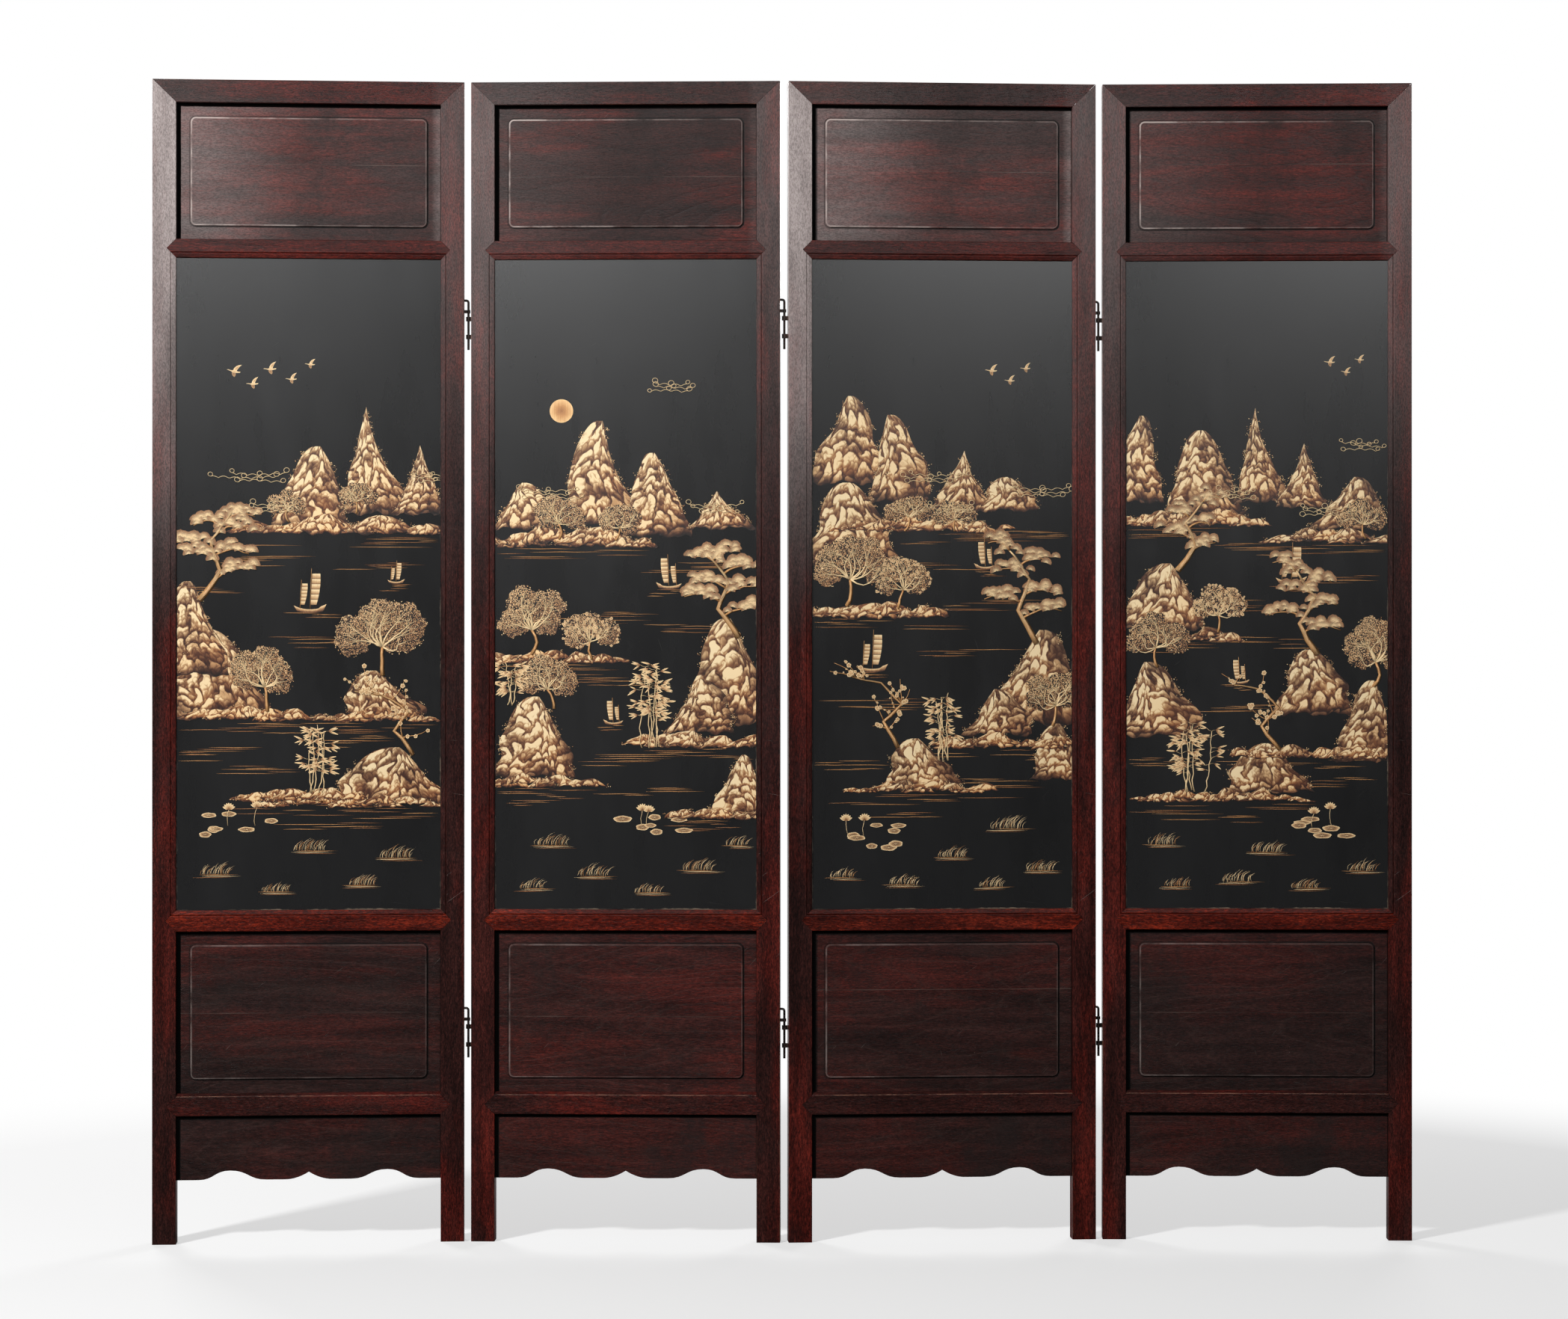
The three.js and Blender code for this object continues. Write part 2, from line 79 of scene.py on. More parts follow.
class Signal:
    # output socket that can be reckoned with: each sum adds a node to its tree

    def __init__(self, tree, socket):
        self.tree, self.socket = tree, socket

    def maths(self, operation, other=0.0):
        return put(self.tree, "Math", {0: self, 1: other}, operation=operation)[0]

    def __add__(self, other):
        return self.maths("ADD", other)

    def __sub__(self, other):
        return self.maths("SUBTRACT", other)

    def __rsub__(self, other):
        return put(self.tree, "Math", {0: other, 1: self}, operation="SUBTRACT")[0]

    def __mul__(self, other):
        return self.maths("MULTIPLY", other)

    def __pow__(self, other):
        return self.maths("POWER", other)

    def __abs__(self):
        return self.maths("ABSOLUTE")

    def atLeast(self, other):
        return self.maths("MAXIMUM", other)

    def atMost(self, other):
        return self.maths("MINIMUM", other)

    def held(self):
        # kept between 0 and 1
        self.socket.node.use_clamp = True
        return self

    def vector(self, operation, other=(0, 0, 0)):
        return put(self.tree, "VectorMath", {0: self, 1: other}, operation=operation)[0]

    def length(self):
        return put(self.tree, "VectorMath", {0: self}, operation="LENGTH")["Value"]

    def parts(self):
        split = put(self.tree, "SeparateXYZ", {0: self})
        return split[0], split[1], split[2]

    def spread(self, low, high, toLow=0.0, toHigh=1.0, smooth=True):
        sockets = {"Value": self, "From Min": low, "From Max": high, "To Min": toLow, "To Max": toHigh}
        return put(self.tree, "MapRange", sockets, interpolation_type="SMOOTHSTEP" if smooth else "LINEAR")[0]

    def ramp(self, stops):
        made = put(self.tree, "ValToRGB", {"Fac": self})
        elements = made.node.color_ramp.elements
        while len(elements) < len(stops):
            elements.new(0.5)
        for element, (position, colour) in zip(elements, stops):
            element.position = position
            element.color = (*colour, 1)
        return made[0]

    def stretched(self, scale):
        return put(self.tree, "Mapping", {"Vector": self, "Scale": scale})[0]

    def noise(self, scale, detail=4.0, roughness=0.55, distortion=0.0, turn=None, output="Fac"):
        # a scale of three numbers stretches the pattern, along turned axes where there is a turn
        place = put(self.tree, "Mapping", {"Vector": self, "Rotation": turn})[0] if turn else self
        if isinstance(scale, tuple):
            place, scale = place.stretched(scale), 1.0
        sockets = {"Vector": place, "Scale": scale, "Detail": detail, "Roughness": roughness, "Distortion": distortion}
        return put(self.tree, "TexNoise", sockets)[output]

    def painted(self, cover, colour):
        return mixColour(self.tree, cover, self, colour)

    def tinted(self, colour):
        return mixColour(self.tree, 1.0, self, colour, "MULTIPLY")

    def bump(self, strength, distance):
        return put(self.tree, "Bump", {"Height": self, "Strength": strength, "Distance": distance})[0]


class Outputs:
    # a node's outputs as signals, by name or number

    def __init__(self, tree, node):
        self.tree, self.node = tree, node

    def __getitem__(self, key):
        return Signal(self.tree, self.node.outputs[key])


def plug(tree, sockets, values):
    for key, value in values.items():
        if isinstance(value, Signal):
            tree.links.new(value.socket, sockets[key])
        else:
            sockets[key].default_value = (*value, 1) if sockets[key].type == "RGBA" else value


def put(tree, kind, sockets=None, **settings):
    node = tree.nodes.new("ShaderNode" + kind)
    for key, value in settings.items():
        setattr(node, key, value)
    plug(tree, node.inputs, sockets or {})
    return Outputs(tree, node)


def mixColour(tree, cover, under, over, blend="MIX"):
    return put(tree, "Mix", {0: cover, 6: under, 7: over}, data_type="RGBA", blend_type=blend)[2]


def attribute(tree, name, output="Vector"):
    return put(tree, "Attribute", attribute_name=name)[output]


def newGroup(name, inputs, outputs):
    group = bpy.data.node_groups.new(name, "ShaderNodeTree")
    for way, labels in (("INPUT", inputs), ("OUTPUT", outputs)):
        for label, kind in labels.items():
            group.interface.new_socket(label, in_out=way, socket_type="NodeSocket" + kind)
    return group, Outputs(group, group.nodes.new("NodeGroupInput")), group.nodes.new("NodeGroupOutput").inputs


def newMaterial(name):
    material = bpy.data.materials.new(name)
    material.use_nodes = True
    tree = material.node_tree
    return material, tree, tree.nodes["Principled BSDF"]


# shared effects


def makeTimberGroup():
    # board place: x along the grain, y across the board, z into it
    group, given, out = newGroup(
        "timberGrain",
        {"Board Place": "Vector", "Figure Scale": "Float", "Figure Lines": "Float", "Pore Amount": "Float"},
        {"Fibre": "Float", "Figure": "Float", "Pores": "Float", "Patches": "Float", "Speckle": "Float"})
    place = given["Board Place"]
    fibre = place.noise((95, 430, 430), 5.0, 0.7) * 0.6 + place.noise((5, 46, 46), 4.0, 0.6) * 0.4
    # cathedral figure: contour lines of a slow noise, pulled out along the grain
    slow = place.vector("MULTIPLY", (0.34, 1.5, 1.5)).noise(given["Figure Scale"], 3.5, 0.42, 0.3)
    level = slow * given["Figure Lines"] + place.parts()[1] * 30.0
    plug(group, out, {
        "Fibre": fibre.spread(0.3, 0.7, smooth=False),
        "Figure": level.maths("PINGPONG", 1.0) ** 5.0,
        "Pores": place.noise((90, 1500, 1500), 2.0, 0.5).spread(0.58, 0.7) * given["Pore Amount"],
        "Patches": place.noise((2.2, 9, 9), 4.0, 0.62).spread(0.44, 0.6),
        "Speckle": place.noise((230, 680, 680), 3.0, 0.75).spread(0.38, 0.6, smooth=False),
    })
    return group


def makeWearGroup():
    # scuffs, hairline scratches and specks of dust, in metres of the leaf's own frame
    group, given, out = newGroup("surfaceWear", {"Leaf Place": "Vector", "Amount": "Float"},
                                 {"Scratches": "Float", "Specks": "Float", "Scuffs": "Float"})
    place = given["Leaf Place"]
    lines = None
    for index, angle in enumerate((0.3, -0.75, 1.4, 2.2)):
        strands = place.noise((650, 650, 22), 1.0, 0.4, turn=(0, angle, 0))
        found = strands.spread(0.75, 0.8) * place.noise((9 + index, 7, 9 - index), 2.0).spread(0.58, 0.68)
        lines = lines.atLeast(found) if lines else found
    cells = put(group, "TexVoronoi", {"Vector": place, "Scale": 260.0, "Randomness": 1.0})
    where = place.noise(9.0, 5.0, 0.7).spread(0.6, 0.72)
    pick = put(group, "SeparateColor", {0: cells["Color"]})[0].spread(0.62, 0.7)
    plug(group, out, {
        "Scratches": (lines * given["Amount"]).held(),
        "Specks": (cells["Distance"].spread(0.2, 0.1) * where * pick * given["Amount"]).held(),
        "Scuffs": place.noise((5, 5, 3), 6.0, 0.72).spread(0.5, 0.68),
    })
    return group


timberGrain = makeTimberGroup()
surfaceWear = makeWearGroup()

# wood finishes

frameLook = {
    "fibre": [(0.22, (0.0080, 0.0026, 0.0022)), (0.5, (0.0210, 0.0062, 0.0051)), (0.8, (0.046, 0.0140, 0.0114))],
    "redTint": (3.1, 1.05, 0.78), "redness": 0.85, "speckle": (0.4, 1.4), "poreColour": (0.004, 0.0022, 0.002),
    "figureScale": 9.0, "figureLines": 14.0, "figure": 0.3, "figureColour": (0.0075, 0.0028, 0.0024),
    "figureRelief": 0.25, "pores": 0.55, "grime": 0.45, "grimeColour": (0.011, 0.0062, 0.0055), "wear": 0.9,
    "arrisWear": 0.75, "arrisColour": (0.22, 0.10, 0.06), "rub": (0.4, 0.62),
    "scratches": 0.55, "marks": 0.6, "markColour": (0.30, 0.24, 0.21), "bloomColour": (0.47, 0.40, 0.385),
    "jointColour": (0.085, 0.055, 0.045), "jointDirt": (0.006, 0.004, 0.0035), "recessDirt": (0.0012, 0.0008, 0.0007),
    "roughness": 0.27, "fibreRough": 0.16, "bump": 0.6, "bumpDepth": 0.0004, "specular": 0.12, "fieldLines": False,
}
railLook = dict(
    frameLook, redTint=(3.4, 1.15, 0.7), specular=0.09, arrisColour=(0.34, 0.13, 0.06),
    fibre=[(0.22, (0.010, 0.0026, 0.0020)), (0.5, (0.026, 0.0066, 0.0044)), (0.8, (0.078, 0.0205, 0.0105))])
# on the panels the pale arris colour is also a painted highlight
panelLook = dict(
    frameLook, fieldLines=True, crest=0.8, footDirt=(0.0016, 0.0010, 0.0009), redness=0.95, redTint=(3.6, 1.1, 0.8),
    specular=0.115, figureScale=5.0, figureLines=30.0, figure=0.42, grime=0.6, speckle=(0.6, 1.25),
    figureRelief=0.5, roughness=0.31, arrisWear=1.0, rub=(0.28, 0.52), arrisColour=(0.60, 0.50, 0.46),
    fibre=[(0.22, (0.008, 0.0027, 0.0023)), (0.5, (0.020, 0.0063, 0.0052)), (0.8, (0.041, 0.0140, 0.0118))])
lowerLook = dict(
    panelLook, redness=0.5, redTint=(3.4, 1.05, 0.75), roughness=0.36, specular=0.13, crest=0.24, arrisWear=0.45,
    pores=0.8, figure=0.22, figureLines=34.0, marks=0.55, figureColour=(0.060, 0.032, 0.026))
backLook = dict(
    frameLook, redness=0.25, roughness=0.55, specular=0.25, figure=0.5, figureLines=26.0, figureScale=4.0,
    fibre=[(0.25, (0.016, 0.0088, 0.0064)), (0.5, (0.038, 0.021, 0.0152)), (0.78, (0.066, 0.039, 0.028))])
panelField = {"margin": 22, "corner": 9}  # raised field of a panel, from the edges of its opening


def fieldDistance(tree, leaf):
    # how far out from the foot of the panel's raised field, rounded corners and all; negative on the field
    away = leaf.vector("SUBTRACT", attribute(tree, "fieldMiddle")).vector("ABSOLUTE")
    over = away.vector("SUBTRACT", attribute(tree, "fieldStraight")).vector("MULTIPLY", (1, 0, 1))
    x, _, z = over.parts()
    return over.vector("MAXIMUM").length() + x.atLeast(z).atMost(0.0) - panelField["corner"] * mm


def makeWood(name, look):
    material, tree, shader = newMaterial(name)
    board, leaf = attribute(tree, "boardPlace"), attribute(tree, "leafPlace")
    x, y, z = leaf.parts()
    arris = attribute(tree, "arris", "Fac")
    moreRed, moreDark, morePaintedSheen = attribute(tree, "tone").parts()
    grain = put(tree, "Group", {
        "Board Place": board, "Figure Scale": look["figureScale"], "Figure Lines": look["figureLines"],
        "Pore Amount": look["pores"]}, node_tree=timberGrain)
    wear = put(tree, "Group", {"Leaf Place": leaf, "Amount": look["wear"]}, node_tree=surfaceWear)
    front = y.spread(0.0, -0.001)

    base = grain["Fibre"].ramp(look["fibre"])
    colour = base.painted((grain["Patches"] * look["redness"] + moreRed).held(), base.tinted(look["redTint"]))
    colour = colour.painted(grain["Figure"] * look["figure"], look["figureColour"])
    colour = colour.painted((wear["Scuffs"] * look["grime"] + moreDark).held(), look["grimeColour"])
    colour = colour.painted(grain["Pores"], look["poreColour"])
    mottle = grain["Speckle"].spread(0.0, 1.0, *look["speckle"], smooth=False)
    colour = colour.tinted(put(tree, "CombineXYZ", {0: mottle, 1: mottle, 2: mottle})[0])
    # glued joint between the two boards of a panel, here pale with dust and there dark
    line = abs(z - attribute(tree, "jointLine", "Fac")).spread(0.0008, 0.0002)
    line = line * leaf.noise((9, 9, 9)).spread(0.35, 0.6, 0.2, 1.0)
    pale = leaf.noise((6, 6, 6), 3.0).spread(0.4, 0.6)
    colour = colour.painted(line, mixColour(tree, pale, look["jointDirt"], look["jointColour"]))
    # the arrises have rubbed through to paler wood; on the panels this pale line is also a painted highlight
    rubbed = arris * board.noise(34.0, 5.0, 0.7).spread(*look["rub"]) * look["arrisWear"]
    colour = colour.painted(rubbed, look["arrisColour"])
    marks = (wear["Scratches"] * look["scratches"]).atLeast(wear["Specks"])
    colour = colour.painted(marks * look["marks"], look["markColour"])
    # painted shadow of the frame, nearly black, where a panel runs in under it: widest below the rail and beside the
    # left stile, thin beside the right stile
    left, right, top = attribute(tree, "recess").parts()
    ragged = leaf.noise(90.0, 3.0, 0.6) * 0.0012
    # corner is the mask of this painted shadow
    corner = (x - left + ragged).spread(0.0080, 0.0066)
    corner = corner.atLeast((top - z + ragged).spread(0.0068, 0.0054))
    corner = corner.atLeast((right - x + ragged).spread(0.0024, 0.0008)) * front
    colour = colour.painted(corner, look["recessDirt"])
    # painted sheen, shown as a pale wax bloom over the upper part of some boards, most at the left and along the right
    # edge
    cloudy = board.noise((5, 26, 26), 5.0, 0.65).spread(0.25, 0.75, 0.55, 1.0)
    side = x.spread(0.26, 0.04, 0.2, 1.0).atLeast(x.spread(0.44, 0.462))
    paintedSheen = (morePaintedSheen * (z.spread(0.95, 1.8) * side) * cloudy).held()
    paintedSheen = paintedSheen * (1.0 - corner) * grain["Speckle"].spread(0.0, 1.0, 0.6, 1.1)
    colour = colour.painted(paintedSheen, look["bloomColour"])
    if look["fieldLines"]:
        # painted light on the field's edge: a pale painted highlight, broken as if rubbed and strongest at the left,
        # and painted shade along its foot, strongest at the right
        out, leftness = fieldDistance(tree, leaf), x.spread(0.34, 0.05)
        footShade = out.spread(0.0030, 0.0014) * out.spread(-0.0004, 0.0003) * leftness.spread(0.0, 1.0, 0.9, 0.55)
        colour = colour.painted(footShade * front, look["footDirt"])
        leftHighlight = leftness.spread(0.0, 1.0, 0.3, 1.0) * leaf.noise(17.0, 4.0, 0.65).spread(0.36, 0.62, 0.12, 1.0)
        crest = out.spread(-0.0034, -0.0022) * out.spread(-0.0001, -0.0009) * leftHighlight
        colour = colour.painted(crest * front * look["crest"], look["arrisColour"])

    polish = grain["Fibre"] * look["fibreRough"] + look["roughness"] + wear["Scuffs"] * 0.08
    height = grain["Fibre"] * 0.6 - grain["Pores"] * 0.5 - grain["Figure"] * look["figureRelief"]
    plug(tree, shader.inputs, {
        "Base Color": colour, "Roughness": polish + corner * 0.6 - arris * 0.1,
        "Specular IOR Level": look["specular"],
        "Normal": (height - wear["Scratches"] * 0.6).bump(look["bump"], look["bumpDepth"])})
    return material


woods = {
    "frame": makeWood("frameWood", frameLook),
    "rail": makeWood("railWood", railLook),
    "panel": makeWood("panelWood", panelLook),
    "lower": makeWood("lowerPanelWood", lowerLook),
    "back": makeWood("backWood", backLook),
}

# black lacquer and iron

lacquerLook = {
    "black": [(0.3, (0.0042, 0.0042, 0.0045)), (0.72, (0.0085, 0.0086, 0.0092))], "wear": 0.8,
    "scratchColour": (0.16, 0.15, 0.14), "scratches": 0.16, "speckColour": (0.12, 0.085, 0.06), "specks": 0.25,
    "groundColour": (0.17, 0.12, 0.075), "roughness": 0.2, "specular": 0.45,
}


def makeLacquer(look):
    material, tree, shader = newMaterial("blackLacquer")
    leaf = attribute(tree, "leafPlace")
    x, _, z = leaf.parts()
    wear = put(tree, "Group", {"Leaf Place": leaf, "Amount": look["wear"]}, node_tree=surfaceWear)
    smoke, brushed = leaf.noise((3.2, 3.2, 1.6), 6.0, 0.62), leaf.noise((26, 20, 5), 4.0, 0.6)
    colour = smoke.ramp(look["black"])
    colour = colour.painted(wear["Scratches"] * look["scratches"], look["scratchColour"])
    colour = colour.painted(wear["Specks"] * look["specks"], look["speckColour"])
    # the edge under the bead has worn to the brown ground, mostly along the bottom and the right
    aside = (x - leafSize["stile"] * mm).atMost((leafSize["width"] - leafSize["stile"]) * mm - x)
    above = (z - leafSize["boardLow"] * mm).atMost(leafSize["boardHigh"] * mm - z)
    reach = leaf.noise(60.0, 6.0, 0.7) * 0.0085 - aside.atMost(above)
    where = leaf.noise(7.0).spread(0.44, 0.58) * z.spread(1.3, 0.6, 0.25, 1.0)
    rim = reach.spread(0.0026, 0.0044) * where
    polish = smoke * 0.10 + look["roughness"] + brushed * 0.05 + wear["Scuffs"] * 0.02
    plug(tree, shader.inputs, {
        "Base Color": colour.painted(rim, look["groundColour"]), "Roughness": polish + rim * 0.3,
        "Specular IOR Level": look["specular"],
        "Normal": (brushed * 0.5 + wear["Scratches"] * -0.6).bump(0.05, 0.0003)})
    return material


ironLook = {"bare": (0.035, 0.03, 0.028), "rust": (0.075, 0.034, 0.02), "pits": (0.012, 0.009, 0.008)}


def makeIron(look):
    material, tree, shader = newMaterial("forgedIron")
    place = put(tree, "TexCoord")["Object"]
    rust = place.noise(210.0, 6.0, 0.7).spread(0.42, 0.62)
    pits = place.noise(900.0, 3.0, 0.6)
    hammered = place.stretched((1, 1, 0.45)).noise(150.0, 2.0)
    colour = mixColour(tree, rust, look["bare"], look["rust"])
    plug(tree, shader.inputs, {
        "Base Color": colour.painted(pits.spread(0.6, 0.75), look["pits"]),
        "Roughness": rust * 0.35 + 0.36, "Metallic": 0.9 - rust * 0.8,
        "Normal": (hammered * 0.8 + pits * 0.3).bump(0.5, 0.0004)})
    return material


# gold powder

goldLook = {
    "thick": (0.04, 0.22, 0.42, 0.66, 0.92),
    "pale": ((0.006, 0.0045, 0.004), (0.07, 0.036, 0.02), (0.24, 0.135, 0.064), (0.55, 0.345, 0.165),
             (0.88, 0.69, 0.41)),
    "copper": ((0.006, 0.004, 0.0035), (0.088, 0.026, 0.011), (0.30, 0.102, 0.030), (0.58, 0.27, 0.088),
               (0.88, 0.58, 0.27)),
    "specular": 0.4,
}


def makeGoldTones():
    # colour, roughness and metal of gold powder from how thick it lies and how coppery it is
    tree, given, out = newGroup("goldTones", {"Thick": "Float", "Warm": "Float"},
                                {"Colour": "Color", "Roughness": "Float", "Metal": "Float"})
    thick = given["Thick"]
    pale, copper = (thick.ramp(list(zip(goldLook["thick"], goldLook[tone]))) for tone in ("pale", "copper"))
    plug(tree, out, {
        "Colour": mixColour(tree, given["Warm"], pale, copper), "Roughness": thick.spread(0.1, 0.9, 0.32, 0.5),
        "Metal": thick.spread(0.3, 0.9, 0.0, 0.2)})
    return tree


def makeFolds():
    # knuckled folds of a rock face: columns at whole numbers of x, each stepping down its own y with a bright crest
    tree, given, out = newGroup("rockFolds", {"Place": "Vector"}, {"Light": "Float"})
    layers = []
    for size, stirred in ((1.0, 2.64), (2.3, 1.92)):
        place = given["Place"].stretched((size, size, 1.0))
        stir = place.noise((0.55, 0.55, 1.0), 2.0, 0.5, output="Color").vector("MULTIPLY", (stirred, stirred, 0))
        across, down, _ = place.vector("ADD", stir).parts()
        column = across.maths("FLOOR")
        aside = across - column - 0.5
        own = put(tree, "TexWhiteNoise", {"W": column}, noise_dimensions="1D")["Value"]
        step = down * (own * 0.5 + 0.75) + own * 7.3
        step = (step - aside * aside * 2.2).maths("FRACT")
        crest = step.spread(0.0, 0.10, 0.5, 1.0) * step.spread(0.12, 1.0, 1.0, 0.2)
        layers.append(crest * abs(aside + 0.06).spread(0.2, 0.5, 1.0, 0.42))
    light = layers[0] * layers[1].spread(0.0, 0.8, 0.84, 1.12)
    plug(tree, out, {"Light": (light + layers[1] * 0.16).held()})
    return tree


goldTones = makeGoldTones()
rockFolds = makeFolds()


def makeGilding(kind):
    material, tree, shader = newMaterial(kind)
    gilt, warm = attribute(tree, "gilt", "Fac"), attribute(tree, "warm", "Fac")
    brush, leaf = attribute(tree, "brush"), attribute(tree, "leafPlace")
    cloudy, powder = leaf.noise(55.0, 4.0, 0.6), leaf.noise(1900.0, 2.0, 0.7)
    if kind == "giltRocks":
        height = put(tree, "Group", {"Place": brush}, node_tree=rockFolds)["Light"]
        worn = leaf.noise(28.0, 2.0, 0.5).spread(0.38, 0.62, 0.72, 1.08)
        thick = gilt * worn * (height ** 1.3 * 1.2 + 0.11)
        warm = (warm + height.spread(0.1, 0.75, 0.75, 0.0)).held()
    elif kind == "giltFoliage":
        cells = put(tree, "TexVoronoi", {"Vector": brush, "Scale": 0.62, "Randomness": 0.85})
        height = cells["Distance"].spread(0.56, 0.34)
        thick = height * (gilt * 0.78 + cells["Color"].parts()[0] * 0.3)
    else:
        height = brush.noise((1.1, 0.06, 1.0), 3.0, 0.6)
        thick = gilt + (height - 0.5) * 0.55
    thick = (thick + (cloudy - 0.5) * 0.22 + (powder - 0.5) * 0.3).held()
    gold = put(tree, "Group", {"Thick": thick, "Warm": warm}, node_tree=goldTones)
    plug(tree, shader.inputs, {
        "Base Color": gold["Colour"], "Roughness": gold["Roughness"], "Metallic": gold["Metal"],
        "Specular IOR Level": goldLook["specular"], "Normal": (powder + height).bump(0.35, 0.0002)})
    return material


gildings = [makeGilding(kind) for kind in ("giltLines", "giltRocks", "giltFoliage")]
lacquer = makeLacquer(lacquerLook)
iron = makeIron(ironLook)
print("finishes made")

# wooden pieces

boardKinds = {
    # grain: which way the wood runs; tone: how red, how dark and how much painted sheen (as wax bloom) the board has
    "stile_left": {"grain": "up", "wood": "frame", "slot": "frame_wood", "tone": (0.08, 0.0, 0.35)},
    "stile_right": {"grain": "up", "wood": "frame", "slot": "frame_wood", "tone": (0.12, 0.0, 0.17)},
    "top_rail": {"grain": "across", "wood": "frame", "slot": "frame_wood", "tone": (0.1, 0.0, 0.08)},
    "upper_rail": {"grain": "across", "wood": "frame", "slot": "frame_wood", "tone": (0.75, 0.0, 0.03)},
    "middle_rail": {"grain": "across", "wood": "rail", "slot": "frame_wood", "tone": (0.75, 0.0, 0.0)},
    "bottom_rail": {"grain": "across", "wood": "frame", "slot": "frame_wood", "tone": (0.2, 0.05, 0.0)},
    "top_panel": {"grain": "across", "wood": "panel", "slot": "panel_wood", "tone": (0.1, 0.0, 0.11)},
    "lower_panel": {"grain": "across", "wood": "lower", "slot": "panel_wood", "tone": (0.0, 0.05, 0.0)},
    "apron": {"grain": "across", "wood": "lower", "slot": "panel_wood", "tone": (0.0, 0.1, 0.0)},
    "lacquer_board": {"grain": "up", "wood": "back", "slot": "black_lacquer", "tone": (0.0, 0.0, 0.0)},
    "lower_batten": {"grain": "across", "wood": "back", "slot": "back_wood", "tone": (0.0, 0.1, 0.0)},
    "upper_batten": {"grain": "across", "wood": "back", "slot": "back_wood", "tone": (0.0, 0.1, 0.0)},
}
boardTones = {  # boards that are redder, darker or carry more painted sheen than their kind
    "leaf_1_stile_left": (0, 0, 0.62), "leaf_3_stile_left": (0, 0, 0.78), "leaf_4_stile_right": (0, 0, 0.12),
    "leaf_2_stile_left": (0.3, 0, -0.05), "leaf_1_top_panel": (0, 0, 0.22), "leaf_3_top_panel": (0, 0, 0.3),
    "leaf_4_stile_left": (0.15, 0, -0.12), "leaf_2_lower_panel": (0.25, 0, 0), "leaf_3_lower_panel": (0.1, -0.05, 0),
    "leaf_1_middle_rail": (0.2, 0, 0), "leaf_3_stile_right": (0.2, 0, 0),
}
panelOpenings = {"top_panel": (leafSize["upperLow"], leafSize["upperHigh"]),
                 "lower_panel": (leafSize["lowerLow"], leafSize["lowerHigh"])}
# under which rail a board runs in
recessTops = {"top_panel": leafSize["upperHigh"], "lower_panel": leafSize["lowerHigh"], "apron": leafSize["apronHigh"]}
arrisSize = {"long": 1.0, "panel": 2.2, "board": 0.4, "segments": 3,
             "sharp": math.radians(25), "shortest": 0.008, "front": 0.0042, "back": 0.0005}


def addAttribute(mesh, name, values):
    # numbers or vectors in one flat list, for all vertices or for each
    count = len(mesh.vertices)
    if len(values) <= 3:
        values = list(values) * count
    isVector = len(values) > count
    layer = mesh.attributes.new(name, "FLOAT_VECTOR" if isVector else "FLOAT", "POINT")
    layer.data.foreach_set("vector" if isVector else "value", values)


def findArrises(bm, home, part, grainAxis):
    # the outer arrises that run with the grain, and all those of a panel's face
    points = {v: home @ v.co for v in bm.verts}
    low, high = (Vector([pick(p[i] for p in points.values()) for i in range(3)]) for pick in (min, max))
    arrises = []
    for edge in bm.edges:
        if len(edge.link_faces) != 2 or edge.calc_face_angle(0) < arrisSize["sharp"] or not edge.is_convex:
            continue
        a, b = points[edge.verts[0]], points[edge.verts[1]]
        along = (b - a).normalized()
        isOuter = max(a.y, b.y) < low.y + arrisSize["front"] or min(a.y, b.y) > high.y - arrisSize["back"]
        isLong = abs(along[grainAxis]) > 0.9 or (part.endswith("panel") or part == "apron") and abs(along.y) < 0.3
        if isLong and isOuter and (b - a).length > arrisSize["shortest"]:
            arrises.append(edge)
    return arrises, low, high


